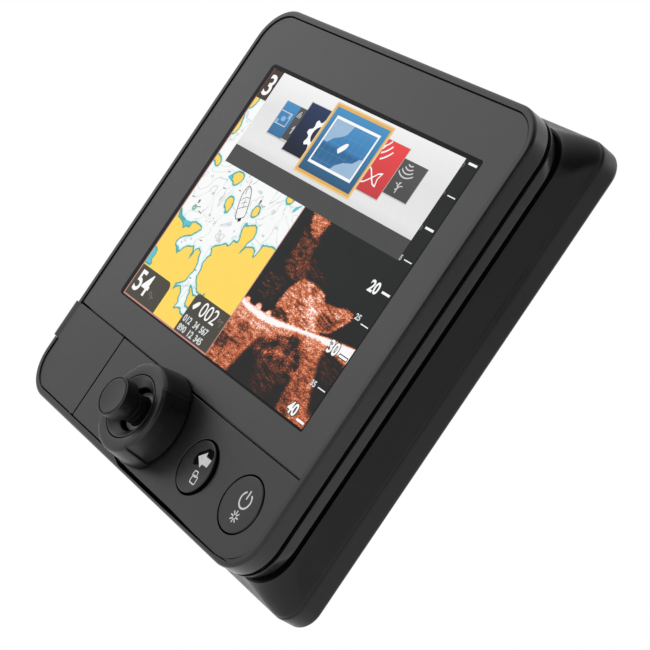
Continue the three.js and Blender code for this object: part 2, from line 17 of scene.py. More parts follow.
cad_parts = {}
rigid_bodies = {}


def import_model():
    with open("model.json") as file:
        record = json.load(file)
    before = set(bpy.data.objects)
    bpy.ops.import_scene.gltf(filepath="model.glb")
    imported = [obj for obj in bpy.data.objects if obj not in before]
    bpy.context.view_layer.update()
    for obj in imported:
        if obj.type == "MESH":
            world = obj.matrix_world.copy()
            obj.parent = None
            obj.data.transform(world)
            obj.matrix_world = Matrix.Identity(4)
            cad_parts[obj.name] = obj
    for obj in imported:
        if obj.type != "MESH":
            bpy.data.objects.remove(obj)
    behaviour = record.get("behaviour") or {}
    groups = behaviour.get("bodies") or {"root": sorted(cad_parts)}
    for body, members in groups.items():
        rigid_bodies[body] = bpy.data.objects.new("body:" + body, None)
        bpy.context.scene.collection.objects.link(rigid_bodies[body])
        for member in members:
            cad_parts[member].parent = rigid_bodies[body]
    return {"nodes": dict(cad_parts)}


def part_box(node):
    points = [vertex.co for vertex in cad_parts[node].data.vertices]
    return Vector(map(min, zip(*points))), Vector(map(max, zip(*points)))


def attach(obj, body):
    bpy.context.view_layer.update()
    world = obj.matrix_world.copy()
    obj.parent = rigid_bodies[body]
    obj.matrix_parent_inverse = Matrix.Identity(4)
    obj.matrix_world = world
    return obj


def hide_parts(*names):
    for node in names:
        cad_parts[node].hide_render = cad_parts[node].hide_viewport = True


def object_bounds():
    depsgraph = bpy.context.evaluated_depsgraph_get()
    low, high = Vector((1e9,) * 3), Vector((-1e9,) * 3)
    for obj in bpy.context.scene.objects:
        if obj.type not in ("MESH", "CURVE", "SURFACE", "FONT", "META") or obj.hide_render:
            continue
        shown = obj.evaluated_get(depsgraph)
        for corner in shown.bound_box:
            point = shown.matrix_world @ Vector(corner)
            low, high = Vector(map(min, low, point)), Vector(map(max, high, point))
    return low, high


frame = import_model()
CAD_LO, CAD_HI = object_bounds()
scene = bpy.context.scene
MM = 0.001

# ------------------------------------------------------------------ driving dimensions
# The picture's centre, measured from the window's left bottom corner.
window_low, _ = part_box("display_window")
ORIGIN = Vector((window_low.x + 75.05 * MM, window_low.y, window_low.z + 53.7 * MM))


def local_box(node):
    low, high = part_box(node)
    return (low - ORIGIN) / MM, (high - ORIGIN) / MM


def round_piece(node):
    """The (x, z) centre of a CAD piece and how far it stands in front of the window."""
    low, high = local_box(node)
    return ((low.x + high.x) / 2, (low.z + high.z) / 2), -low.y


def inset(rect, inward):
    left, right, low, high = rect
    return left + inward, right - inward, low + inward, high - inward


# rectangles are (left, right, low, high)
bezel_low, bezel_high = local_box("front_bezel")
FACE = (bezel_low.x, bezel_high.x, bezel_low.z, bezel_high.z)
FACE_LEFT, FACE_RIGHT, FACE_LOW, FACE_HIGH = FACE
FACE_RADIUS = 13.0
BEZEL_FRONT, BEZEL_BACK = bezel_low.y, bezel_high.y
MID_FRONT = local_box("mid_frame")[0].y
MID_STEP = MID_FRONT + 2.6

KNOB, KNOB_TOP = round_piece("knob_trim_ring")
HOME, HOME_TOP = round_piece("home_button")
POWER, POWER_TOP = round_piece("power_button")
HOME_TILT = 1.0  # how much lower the home key's left edge stands than its right
SOCKET = (round_piece("cable_socket")[0][0], local_box("cable_socket")[0].z + 13.2)
VENT = round_piece("vent_plug")[0]

# the sheet lying in the bezel, split into window, control panel and card door
SHEET_INSET = 2.55
SHEET_LEFT, SHEET_RIGHT, SHEET_LOW, SHEET_HIGH = inset(FACE, SHEET_INSET)
SHEET_RADIUS = FACE_RADIUS - SHEET_INSET
SHEET_BACK = 1.5
SEAM_Z, SEAM_X = -53.9, -42.25
DOOR_GAP, WINDOW_GAP = 0.27, 0.33  # each on its own side of the seam
WINDOW = (SHEET_LEFT, SHEET_RIGHT, SEAM_Z + WINDOW_GAP, SHEET_HIGH)
PANEL = (SEAM_X + DOOR_GAP + 0.04, SHEET_RIGHT, SHEET_LOW, SEAM_Z - WINDOW_GAP)
GRIP_LEFT, GRIP_LOW, GRIP_HIGH = -78.8, -67.8, -54.42
HINGE_X, HINGE_Y = -46.0, 1.5

SCREW_INSET = 9.5
screw_left, screw_right, screw_low, screw_high = inset(FACE, SCREW_INSET)
CORNERS = [(screw_right, screw_high), (screw_left, screw_high),
           (screw_left, screw_low), (screw_right, screw_low)]
POD = (-49.15, 42.85, -53.2, 30.8)  # the raised block on the back
POD_X, POD_Z = (POD[0] + POD[1]) / 2, (POD[2] + POD[3]) / 2
INSERTS = [(POD_X + x, POD_Z + z) for x, z in [(-25, -20), (25, -20), (25, 20), (-25, 20)]]


# ------------------------------------------------------------------ outlines
def pairs(points):
    """Each point of a loop with the next one."""
    return zip(points, points[1:] + points[:1])


def ease(t):
    t = min(max(t, 0.0), 1.0)
    return t * t * (3 - 2 * t)


def arc(centre, radius, start, end, steps):
    angles = [start + (end - start) * i / steps for i in range(steps + 1)]
    return [(centre[0] + radius * math.cos(a), centre[1] + radius * math.sin(a)) for a in angles]


def circle(centre, radius, points=96):
    return arc(centre, radius, 0, 2 * math.pi, points)[:-1]


def rounded(rect, radius, steps=12):
    """A rounded rectangle. Four radii run: top right, top left, bottom left, bottom right."""
    left, right, low, high = rect
    radii = radius if isinstance(radius, (list, tuple)) else (radius,) * 4
    corners = [(right, high, -1, -1), (left, high, 1, -1), (left, low, 1, 1), (right, low, -1, 1)]
    points = []
    for i, (x, z, to_x, to_z) in enumerate(corners):
        r = max(radii[i], 0.02)
        centre = (x + to_x * r, z + to_z * r)
        points += arc(centre, r, math.pi / 2 * i, math.pi / 2 * (i + 1), steps)
    return points


def face_loop(inward, radius=None, steps=22):
    radius = FACE_RADIUS - inward if radius is None else radius
    return rounded(inset(FACE, inward), radius, steps)


def fillet(points, closed=False, steps=4):
    """Rounds the corners of a line of (u, v) or (u, v, radius) points."""
    out, count = [], len(points)
    for i, point in enumerate(points):
        radius = point[2] if len(point) > 2 else 0
        if radius <= 0 or (not closed and i in (0, count - 1)):
            out.append((point[0], point[1]))
            continue
        corner = Vector(point[:2])
        before, after = Vector(points[i - 1][:2]), Vector(points[(i + 1) % count][:2])
        back, ahead = (before - corner).normalized(), (after - corner).normalized()
        angle = back.angle(ahead)
        if angle > math.pi - 1e-3:
            out.append((point[0], point[1]))
            continue
        reach = min(radius / math.tan(angle / 2), 0.49 * (before - corner).length,
                    0.49 * (after - corner).length)
        radius = reach * math.tan(angle / 2)
        centre = corner + (back + ahead).normalized() * (radius / math.sin(angle / 2))
        first, last = corner + back * reach - centre, corner + ahead * reach - centre
        start, end = math.atan2(first.y, first.x), math.atan2(last.y, last.x)
        turn = (end - start + math.pi) % (2 * math.pi) - math.pi
        for k in range(steps + 1):
            a = start + turn * k / steps
            out.append((centre.x + radius * math.cos(a), centre.y + radius * math.sin(a)))
    return out


def closed_fillet(points, steps=4):
    return fillet(points, True, steps)


def offset(loop, inward):
    """Moves a smooth counter-clockwise loop inwards."""
    out = []
    for i, point in enumerate(loop):
        here, before, after = Vector(point), Vector(loop[i - 1]), Vector(loop[(i + 1) % len(loop)])
        come, leave = (here - before).normalized(), (after - here).normalized()
        normal = Vector((-come.y, come.x))
        mitre = normal + Vector((-leave.y, leave.x))
        mitre = mitre * (inward / mitre.dot(normal))
        out.append((here.x + mitre.x, here.y + mitre.y))
    return out


def rounded_edges(front, back, front_radius, back_radius, steps=3):
    """(inset, y) from the front face round its edge, down the wall and round the back edge."""
    out = []
    for k in range(steps + 1):
        a = math.pi / 2 * k / steps
        out.append((front_radius - front_radius * math.sin(a),
                    front + front_radius - front_radius * math.cos(a)))
    for k in range(steps + 1):
        a = math.pi / 2 * k / steps
        out.append((back_radius - back_radius * math.cos(a),
                    back - back_radius + back_radius * math.sin(a)))
    return out


def round_hole(centre, radius, points=96):
    return lambda outward: circle(centre, radius + outward, points)


def square_hole(rect, radius, steps):
    return lambda outward: rounded(inset(rect, -outward), radius, steps)


# ------------------------------------------------------------------ solids
def tidy(mesh, gap=1e-5, rims=()):
    """Fills each group of rim loops, merges points closer than gap and turns faces outwards."""
    work = bmesh.new()
    work.from_mesh(mesh)
    work.verts.ensure_lookup_table()
    for loops in rims:
        edges = [work.edges.get((work.verts[a], work.verts[b]))
                 for loop in loops for a, b in pairs(loop)]
        bmesh.ops.triangle_fill(work, use_beauty=True, use_dissolve=False, edges=edges)
    bmesh.ops.remove_doubles(work, verts=work.verts, dist=gap)
    bmesh.ops.recalc_face_normals(work, faces=work.faces)
    work.to_mesh(mesh)
    work.free()


def place(mesh):
    piece = bpy.data.objects.new("piece", mesh)
    scene.collection.objects.link(piece)
    return piece


def make(verts, faces, rims=(), clean=True):
    mesh = bpy.data.meshes.new("piece")
    mesh.from_pydata(verts, [], faces)
    if clean:
        tidy(mesh, rims=rims)
    return place(mesh)


def loft(levels, closed=False):
    """A solid through (y, loop) levels, all with the same number of points."""
    count, total = len(levels[0][1]), len(levels)
    verts = [(x, y, z) for y, loop in levels for x, z in loop]
    faces = []
    for k in range(total if closed else total - 1):
        here, there = k * count, (k + 1) % total * count
        for i in range(count):
            j = (i + 1) % count
            faces.append((here + i, there + i, there + j, here + j))
    if not closed:
        faces.append(tuple(range(count)))
        faces.append(tuple(reversed(range((total - 1) * count, total * count))))
    return make(verts, faces)


def sweep(profile, outline=lambda inward, y: face_loop(inward)):
    """A closed (inset, y) profile run round outline(inset, y)."""
    return loft([(y, outline(inward, y)) for inward, y in profile], closed=True)


def plate(outline, holes, front, back, front_radius, back_radius, steps):
    """A plate with rounded edges. outline(d) is inset by d and each hole(d) is widened by d."""
    levels = rounded_edges(front, back, front_radius, back_radius, steps)
    verts, faces, rims = [], [], [[], []]
    for shape in [outline, *holes]:
        loops = [shape(inward) for inward, _ in levels]
        count, base = len(loops[0]), len(verts)
        for (_, y), loop in zip(levels, loops):
            verts += [(x, y, z) for x, z in loop]
        for k in range(len(levels) - 1):
            for i in range(count):
                a, b = base + k * count + i, base + k * count + (i + 1) % count
                faces.append((a, a + count, b + count, b))
        last = base + (len(levels) - 1) * count
        rims[0].append(list(range(base, base + count)))
        rims[1].append(list(range(last, last + count)))
    if holes:
        return make(verts, faces, rims)
    return make(verts, faces + [tuple(rims[0][0]), tuple(reversed(rims[1][0]))])


def lathe(centre, profile, points=96, closed=False):
    """A piece turned about y: (radius, y) points. A radius may be a function of the angle."""
    verts, faces, rows = [], [], []
    for radius, y in profile:
        if not callable(radius) and radius < 1e-6:
            rows.append([len(verts)])
            verts.append((centre[0], y, centre[1]))
            continue
        rows.append(list(range(len(verts), len(verts) + points)))
        for i in range(points):
            a = 2 * math.pi * i / points
            r = radius(a) if callable(radius) else radius
            verts.append((centre[0] + r * math.cos(a), y, centre[1] + r * math.sin(a)))
    for near, far in list(zip(rows, rows[1:])) + ([(rows[-1], rows[0])] if closed else []):
        for i in range(points):
            j = (i + 1) % points
            if len(near) == 1:
                faces.append((near[0], far[i], far[j]))
            elif len(far) == 1:
                faces.append((near[i], far[0], near[j]))
            else:
                faces.append((near[i], far[i], far[j], near[j]))
    return make(verts, faces)


def bar(left, right, low, high):
    """A rectangle as a flat shape: a list with one loop."""
    return [[(right, low), (right, high), (left, high), (left, low)]]


def block(left, right, front, back, low, high):
    loop = bar(left, right, low, high)[0]
    return loft([(front, loop), (back, loop)])


def remove(piece):
    mesh = piece.data
    bpy.data.objects.remove(piece)
    if mesh.users == 0:
        bpy.data.meshes.remove(mesh)


def boolean(piece, tools, operation="DIFFERENCE"):
    for tool in tools:
        modifier = piece.modifiers.new("boolean", "BOOLEAN")
        modifier.object = tool
        modifier.operation = operation
        modifier.solver = "EXACT"
    graph = bpy.context.evaluated_depsgraph_get()
    mesh = bpy.data.meshes.new_from_object(piece.evaluated_get(graph), depsgraph=graph)
    old = piece.data
    piece.modifiers.clear()
    piece.data = mesh
    if old.users == 0:
        bpy.data.meshes.remove(old)
    for tool in tools:
        remove(tool)


def joined(pieces):
    """Several separate solids kept in one mesh."""
    verts, faces = [], []
    for piece in pieces:
        base = len(verts)
        verts += [v.co[:] for v in piece.data.vertices]
        faces += [[base + i for i in face.vertices] for face in piece.data.polygons]
        remove(piece)
    return make(verts, faces, clean=False)


def stand_up(piece, at):
    """Turns a piece's y axis to point up and moves it."""
    piece.data.transform(Matrix.Translation(at) @ Matrix.Rotation(math.pi / 2, 4, "X"))


MATERIALS = {}


def finish(piece, name, material, second=None, body="root", replaces=None,
           smooth=34.0, weighted=True):
    """Puts a piece into the frame."""
    mesh = piece.data
    mesh.transform(Matrix.Translation(ORIGIN) @ Matrix.Scale(MM, 4))
    piece.name = name
    mesh.name = name
    mesh.polygons.foreach_set("use_smooth", [True] * len(mesh.polygons))
    mesh.set_sharp_from_angle(angle=math.radians(smooth))
    mesh.materials.clear()
    mesh.materials.append(MATERIALS[material])
    if second:
        mesh.materials.append(MATERIALS[second])
    if weighted:
        modifier = piece.modifiers.new("weighted", "WEIGHTED_NORMAL")
        modifier.keep_sharp = True
        modifier.weight = 50
    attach(piece, body)
    if replaces:
        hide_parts(replaces)


def paint_second(piece, test):
    """Gives the second material to faces whose local centre and normal pass the test."""
    for face in piece.data.polygons:
        if test((face.center - ORIGIN) / MM, face.normal):
            face.material_index = 1


# ------------------------------------------------------------------ shader building
def rgb(code, gain=1.0):
    """A hex colour as linear RGBA."""
    channels = [int(code[i:i + 2], 16) / 255 for i in (1, 3, 5)]
    return (*((c / 12.92 if c <= 0.04045 else ((c + 0.055) / 1.055) ** 2.4) * gain
              for c in channels), 1.0)


class Nodes:
    """The emptied node tree of a material or world. A value is a number, hex colour or socket."""

    def __init__(self, owner):
        owner.use_nodes = True
        self.tree = owner.node_tree
        self.tree.nodes.clear()

    def put(self, socket, value):
        if isinstance(value, bpy.types.NodeSocket):
            self.tree.links.new(value, socket)
        else:
            socket.default_value = rgb(value) if isinstance(value, str) else value

    def node(self, kind, inputs=None, **settings):
        node = self.tree.nodes.new(kind)
        for key, value in settings.items():
            setattr(node, key, value)
        for key, value in (inputs or {}).items():
            self.put(node.inputs[key], value)
        return node

    def remap(self, value, span=(0.3, 0.7), to=(0, 1), kind="LINEAR"):
        return self.node("ShaderNodeMapRange", {
            "Value": value, "From Min": span[0], "From Max": span[1],
            "To Min": to[0], "To Max": to[1],
        }, interpolation_type=kind).outputs["Result"]

    def dot(self, first, second):
        return self.node("ShaderNodeVectorMath", {0: first, 1: second},
                         operation="DOT_PRODUCT").outputs["Value"]


class Shader(Nodes):
    """A named Principled material, kept in MATERIALS."""

    def __init__(self, name):
        material = bpy.data.materials.new(name)
        MATERIALS[name] = material
        super().__init__(material)
        output = self.node("ShaderNodeOutputMaterial")
        self.principled = self.node("ShaderNodeBsdfPrincipled")
        self.put(output.inputs["Surface"], self.principled.outputs[0])
        self.coord = self.node("ShaderNodeTexCoord").outputs["Object"]

    def surface(self, values):
        for key, value in values.items():
            self.put(self.principled.inputs[key], value)

    def noise(self, scale, detail=3.0, rough=0.55, distort=0.0, stretch=None):
        vector = self.coord
        if stretch:
            vector = self.node("ShaderNodeMapping", {"Vector": vector, "Scale": stretch}).outputs[0]
        return self.node("ShaderNodeTexNoise", {
            "Vector": vector, "Scale": scale, "Detail": detail,
            "Roughness": rough, "Distortion": distort,
        }).outputs["Fac"]

    def cells(self, scale):
        """Distance to the nearest cell centre."""
        inputs = {"Vector": self.coord, "Scale": scale}
        return self.node("ShaderNodeTexVoronoi", inputs).outputs["Distance"]

    def calc(self, operation, first, second, clamp=False):
        return self.node("ShaderNodeMath", {0: first, 1: second, 2: 0.0},
                         operation=operation, use_clamp=clamp).outputs[0]

    def zigzag(self, value, scale):
        """Runs 0 to 1 and back as value * scale grows."""
        return self.calc("PINGPONG", self.calc("MULTIPLY", value, scale), 1.0)

    def mix(self, factor, first, second, blend="MIX"):
        return self.node("ShaderNodeMix", {"Factor": factor, 6: first, 7: second},
                         data_type="RGBA", blend_type=blend).outputs[2]

    def ramp(self, factor, stops):
        """stops: (position, hex colour)."""
        node = self.node("ShaderNodeValToRGB", {"Fac": factor})
        elements = node.color_ramp.elements
        elements.remove(elements[-1])
        elements[0].position = stops[0][0]
        elements[0].color = rgb(stops[0][1])
        for position, code in stops[1:]:
            elements.new(position).color = rgb(code)
        return node.outputs["Color"]

    def bump(self, height, strength, distance, normal=None):
        inputs = {"Strength": strength, "Distance": distance, "Height": height}
        if normal is not None:
            inputs["Normal"] = normal
        return self.node("ShaderNodeBump", inputs).outputs[0]

    def edge(self, radius):
        """About 1 on a sharp edge and 0 on a flat face."""
        bevel = self.node("ShaderNodeBevel", {"Radius": radius}, samples=4).outputs[0]
        normal = self.node("ShaderNodeNewGeometry").outputs["Normal"]
        return self.remap(self.dot(bevel, normal), span=(0.985, 0.80), to=(0.0, 1.0))

    def xyz(self):
        return self.node("ShaderNodeSeparateXYZ", {0: self.coord}).outputs

    def attribute(self, name):
        return self.node("ShaderNodeAttribute", attribute_name=name).outputs["Fac"]


# ------------------------------------------------------------------ materials
def plastic(name, dark, light, rough=0.45, rough_spread=0.10, grain=0.32, bump=0.25,
            specular=0.5, edge_wear_and_highlight=0.25, edge_wear_and_highlight_colour="#8a8a8a", scuffs=0.35):
    """Moulded plastic: fine grain (mm), slow colour drift, handling marks and paler edges, which are
    part wear and part painted highlight.
    """
    shader = Shader(name)
    drift = shader.noise(scale=22, detail=4, rough=0.6)
    fleck = shader.noise(scale=900, detail=3, rough=0.7)
    colour = shader.mix(shader.remap(drift), dark, light)
    flecked = shader.remap(fleck, span=(0.42, 0.62), to=(0, 0.28))
    colour = shader.mix(flecked, colour, rgb(light, gain=1.35))
    if edge_wear_and_highlight > 0:
        # paler edges: part handling wear, part painted highlight
        patches = shader.noise(scale=160, detail=4, rough=0.6)
        patches = shader.remap(patches, span=(0.38, 0.62), to=(0.25, 1.0))
        worn_and_highlight = shader.calc("MULTIPLY", shader.edge(radius=0.35 * MM), patches)
        worn_and_highlight = shader.calc("MULTIPLY", worn_and_highlight, edge_wear_and_highlight, clamp=True)
        colour = shader.mix(worn_and_highlight, colour, edge_wear_and_highlight_colour)
    scratch = shader.noise(scale=38, detail=5, rough=0.75, distort=1.2, stretch=(1.0, 1.0, 7.0))
    scratch = shader.remap(scratch, span=(0.60, 0.70), to=(0, scuffs))
    base = shader.remap(shader.noise(scale=70, detail=4, rough=0.65),
                        to=(rough - rough_spread, rough + rough_spread))
    roughness = shader.calc("ADD", base, shader.calc("MULTIPLY", scratch, -0.12))
    fleck_rough = shader.remap(fleck, to=(-0.04, 0.04))
    roughness = shader.calc("ADD", roughness, fleck_rough, clamp=True)
    fine = shader.noise(scale=1 / (grain * MM), detail=3, rough=0.6)
    fine = shader.bump(fine, strength=bump, distance=0.00004)
    broad = shader.noise(scale=140, detail=3, rough=0.5)
    shader.surface({
        "Base Color": colour,
        "Roughness": roughness,
        "Specular IOR Level": specular,
        "Normal": shader.bump(broad, strength=0.12, distance=0.0001, normal=fine),
    })


def metal(name, dark, light, rough=0.3, brushed=(1, 1, 1)):
    """Bare metal with darker tarnish spots. brushed stretches its grain along x, y and z."""
    shader = Shader(name)
    drift = shader.noise(scale=90, detail=4, rough=0.6)
    colour = shader.mix(shader.remap(drift), dark, light)
    tarnish = shader.noise(scale=260, detail=5, rough=0.7)
    tarnish = shader.remap(tarnish, span=(0.55, 0.75), to=(0, 0.15))
    grain = shader.noise(scale=1500, detail=3, rough=0.6, stretch=brushed)
    shader.surface({
        "Base Color": shader.mix(tarnish, colour, rgb(dark, gain=0.5)),
        "Metallic": 1.0,
        "Roughness": shader.remap(shader.noise(scale=400, detail=4, rough=0.6),
                                  to=(rough - 0.08, rough + 0.12)),
        "Normal": shader.bump(grain, strength=0.2, distance=0.00003),
    })


def rubber(name, dark, light, rough=0.8, specular=0.25):
    shader = Shader(name)
    drift = shader.noise(scale=60, detail=4, rough=0.6)
    colour = shader.mix(shader.remap(drift), dark, light)
    dust = shader.noise(scale=700, detail=4, rough=0.7)
    dust = shader.remap(dust, span=(0.58, 0.75), to=(0, 0.2))
    grain = shader.noise(scale=1 / (0.5 * MM), detail=3, rough=0.6)
    shader.surface({
        "Base Color": shader.mix(dust, colour, "#3a3a3a"),
        "Roughness": shader.remap(shader.noise(scale=300, detail=3, rough=0.6),
                                  to=(rough - 0.08, rough + 0.08)),
        "Specular IOR Level": specular,
        "Normal": shader.bump(grain, strength=0.3, distance=0.00006),
    })


def foam(name, dark, light):
    shader = Shader(name)
    pores = shader.cells(scale=2200)
    shader.surface({
        "Base Color": shader.mix(shader.remap(pores, span=(0.1, 0.6)), dark, light),
        "Roughness": shader.remap(shader.noise(scale=400), to=(0.85, 1.0)),
        "Specular IOR Level": 0.1,
        "Normal": shader.bump(pores, strength=0.6, distance=0.0002),
    })


def board(name):
    """Green board with paler tracks and gold pads."""
    shader = Shader(name)
    drift = shader.noise(scale=350, detail=2, rough=0.4)
    tracks = shader.zigzag(shader.noise(scale=60, detail=1, rough=0.3), scale=40.0)
    colour = shader.mix(shader.remap(drift), "#0f3d25", "#1b5534")
    track = shader.remap(tracks, span=(0.42, 0.5), to=(0, 0.75))
    colour = shader.mix(track, colour, "#2f7a4c")
    pads = shader.remap(shader.cells(scale=420), span=(0.16, 0.12))
    shader.surface({
        "Base Color": shader.mix(pads, colour, "#c9a25a"),
        "Roughness": shader.remap(drift, to=(0.3, 0.5)),
        "Normal": shader.bump(tracks, strength=0.25, distance=0.00004),
    })


def ink(name, colour, rough=0.5, specular=0.5):
    shader = Shader(name)
    drift = shader.remap(shader.noise(scale=500, detail=4, rough=0.65))
    shader.surface({
        "Base Color": shader.mix(drift, colour, rgb(colour, gain=0.82)),
        "Roughness": shader.remap(shader.noise(scale=800), to=(rough - 0.08, rough + 0.08)),
        "Specular IOR Level": specular,
        "Normal": shader.bump(shader.noise(scale=2600, detail=2, rough=0.5),
                              strength=0.15, distance=0.00002),
    })


def lit(name, colour, mottle=0.04):
    """Part of the lit picture. colour is a hex colour or builds one from the shader.

    Returns the material's name, for use in a call.
    """
    shader = Shader(name)
    if callable(colour):
        colour = colour(shader)
    patches = shader.remap(shader.noise(scale=300, detail=3, rough=0.6), span=(0.35, 0.65))
    dimmed = shader.mix(1.0, colour, (1 - mottle, 1 - mottle, 1 - mottle, 1), "MULTIPLY")
    # the fine grid of the display's cells
    axes = shader.xyz()
    across = shader.zigzag(axes[0], scale=1 / (0.18 * MM))
    upward = shader.zigzag(axes[2], scale=1 / (0.18 * MM))
    grid = shader.calc("MULTIPLY", across, upward)
    shader.surface({
        "Emission Color": shader.mix(patches, dimmed, colour),
        "Emission Strength": 1.0,
        "Base Color": (0.004, 0.004, 0.004, 1),
        "Specular IOR Level": 0.05,
        "Roughness": shader.remap(shader.noise(scale=120, detail=3, rough=0.6), to=(0.28, 0.42)),
        "Normal": shader.bump(grid, strength=0.05, distance=0.00001),
    })
    return name


plastic("bezel_plastic", "#0d0d0d", "#121212", rough=0.23, rough_spread=0.03, grain=0.25,
        bump=0.1, edge_wear_and_highlight=0.15, edge_wear_and_highlight_colour="#4a4a4a", scuffs=0.15)
plastic("window_acrylic", "#252525", "#292929", rough=0.31, rough_spread=0.02, grain=0.4,
        bump=0.03, edge_wear_and_highlight=0.15, scuffs=0.03)
plastic("panel_plastic", "#1b1b1b", "#1f1f1f", rough=0.33, rough_spread=0.04, grain=0.4,
        bump=0.12, scuffs=0.1)
plastic("housing_plastic", "#060606", "#090909", rough=0.34, grain=0.45, bump=0.2,
        specular=0.34, edge_wear_and_highlight=0.3, edge_wear_and_highlight_colour="#444444")
plastic("frame_plastic", "#1b1b1b", "#202020", rough=0.19, specular=0.42, edge_wear_and_highlight=0.3,
        edge_wear_and_highlight_colour="#6e6e6e")
plastic("knob_plastic", "#0a0a0a", "#0e0e0e", rough=0.36, grain=0.3, bump=0.15, edge_wear_and_highlight=0.40,
        edge_wear_and_highlight_colour="#4a4a4a")
plastic("key_plastic", "#131313", "#171717", rough=0.36, grain=0.3, bump=0.2, edge_wear_and_highlight=0.2)
plastic("moulded_component", "#111112", "#18181a", rough=0.5, edge_wear_and_highlight=0.15)
rubber("rubber", "#060606", "#0a0a0a")
# painted light: the boot's flange is the same black rubber, laid pale so it reads lit inside the
# shaded well
rubber("flange_painted_light", "#6e6e6e", "#7c7c7c", rough=0.35, specular=0.5)
# near-black rubber for the seals, also laid on the walls of gaps and recesses as painted shade
rubber("seal_rubber_and_painted_shade", "#020202", "#030303", rough=0.92, specular=0.05)
rubber("keypad_rubber", "#1f2022", "#28292b", rough=0.7)
foam("adhesive_foam", "#0a0a0b", "#1b1b1c")
metal("steel", "#8d9093", "#aeb1b4", rough=0.28)
metal("brass", "#9a7636", "#c39a52")
metal("aluminium", "#94979b", "#b4b7ba", rough=0.38, brushed=(1, 1, 12))
metal("tinplate", "#a9acb0", "#c4c7ca", rough=0.32)
board("circuit_board")
plastic("flex_film", "#8a4a16", "#a85f22", rough=0.35, edge_wear_and_highlight=0, scuffs=0.2)
plastic("ceramic", "#cbc3ad", "#ddd6c2", rough=0.55, edge_wear_and_highlight=0, grain=0.2)
plastic("lcd_glass", "#0c0f12", "#12161a", rough=0.12, rough_spread=0.04, bump=0.02, edge_wear_and_highlight=0)
ink("white_ink", "#ececec")
# black for the painted shadow round the home key's arrow
ink("painted_shadow_black", "#040404", rough=0.6, specular=0.04)


# ------------------------------------------------------------------ front bezel
def hinge_lug():
    """The pierced lug that holds the card door's hinge pin."""
    rect = (-46.8, -45.2, -56.4, -54.6)
    radius = 0.25
    lug = loft([(y, rounded(inset(rect, inward), max(radius - inward, 0.05), 4))
                for inward, y in rounded_edges(0.9, 3.6, radius, radius)])
    pin_hole = lathe((0, 0), [(0, 0), (0.7, 0), (0.7, 4), (0, 4)], 24)
    stand_up(pin_hole, (HINGE_X, HINGE_Y, -57.5))
    boolean(lug, [block(-46.8, -45.2, 1.75, 3.8, -55.5, -53.6)], "UNION")
    boolean(lug, [pin_hole])
    return lug


def front_bezel():
    # (inset, y, corner radius) round the rim's section
    rim = closed_fillet([
        (2.2, BEZEL_FRONT, 0.14), (0.0, BEZEL_FRONT, 1.0), (0.0, BEZEL_BACK - 0.85, 0.3),
        (1.0, BEZEL_BACK - 0.85), (1.0, BEZEL_BACK), (2.5, BEZEL_BACK), (2.5, 3.9), (3.6, 3.9),
        (3.6, 1.9), (2.2, 1.9),
    ], 5)
    moulding = sweep(rim)
    backing = plate(lambda inward: face_loop(2.9 + inward), [
        square_hole((-60.5, 60.5, -46.5, 46.5), 1.0, 4),
        square_hole((-68.5, -48.5, -76.5, -60.5), 1.5, 4),
        round_hole(KNOB, 9.6, 64), round_hole(HOME, 10.2, 64), round_hole(POWER, 10.2, 64),
    ], 1.92, 3.88, 0.1, 0.1, 1)
    boolean(moulding, [backing], "UNION")
    # the rim runs thinner along the control panel: (x, height above the face's low edge)
    thinning = [(-10.5, 2.4), (-5.0, 0.95), (25.0, 1.0), (56.0, 1.4), (64.0, 2.4)]
    thinning = [(x, FACE_LOW + z) for x, z in thinning]
    boolean(moulding, [
        block(-90, FACE_LEFT + 3.2, -5, 3.6, GRIP_LOW - 0.12, GRIP_HIGH + 0.1),
        # room for the card door's hinge edge
        block(-47.9, -42.0, -5, 5.2, FACE_LOW + 2.45, -54.0),
        loft([(-5.0, thinning), (3.3, thinning)]),
    ])
    boss = [(1.75, 3.86), (3.3, 3.86), (3.3, BEZEL_BACK), (1.75, BEZEL_BACK)]
    bosses = [lathe(corner, boss, 32, closed=True) for corner in CORNERS]
    piece = joined([moulding] + bosses + [hinge_lug()])
    finish(piece, "front_bezel_moulding", "bezel_plastic", "seal_rubber_and_painted_shade",
           replaces="front_bezel", smooth=30)
    # painted shade: the faces in the gap below the control panel take the black seal material
    paint_second(piece, lambda c, normal: 0.15 < c.y < 3.5 and -11 < c.x < 65
                 and FACE_LOW + 0.9 < c.z < FACE_LOW + 3.7 and normal.z > -0.5)


front_bezel()


# ------------------------------------------------------------------ window and control panel
# the sheets' side walls, which take the black seal material as painted shade in the gaps round them
def on_sheet_wall(centre, normal):
    return 0.2 < centre.y < 1.39


def window_outline(inward):
    radius = SHEET_RADIUS - inward
    return rounded(inset(WINDOW, inward), [radius, radius, 0.4, 0.4], 18)


def panel_outline(inward):
    """The panel, with the shallow hollow along its lower edge."""
    loop = rounded(inset(PANEL, inward), [0.4, 0.4, 0.4, SHEET_RADIUS - inward], 18)
    low = SHEET_LOW + inward
    points = []
    for (x, z), (next_x, next_z) in pairs(loop):
        points.append((x, z))
        if abs(z - low) < 0.01 and abs(next_z - z) < 0.01 and next_x - x > 20:
            points += [(x + (next_x - x) * k / 90, z) for k in range(1, 90)]
    out = []
    for x, z in points:
        if z < low + 0.05 and -8 < x < 48:
            z += 0.5 * ease((x + 6.5) / 4.0) * ease((46 - x) / 20.0)
        if z < low + 1.2 and -10 < x < 63.9:
            z -= 0.95 * min(max((x + 10) / 8.0, 0), 1, max((64 - x) / 8.0, 0))
        out.append((x, z))
    return out


sheet = plate(window_outline, [], 0.0, SHEET_BACK, 0.16, 0.1, 4)
finish(sheet, "window_sheet", "window_acrylic", "seal_rubber_and_painted_shade", replaces="display_window")
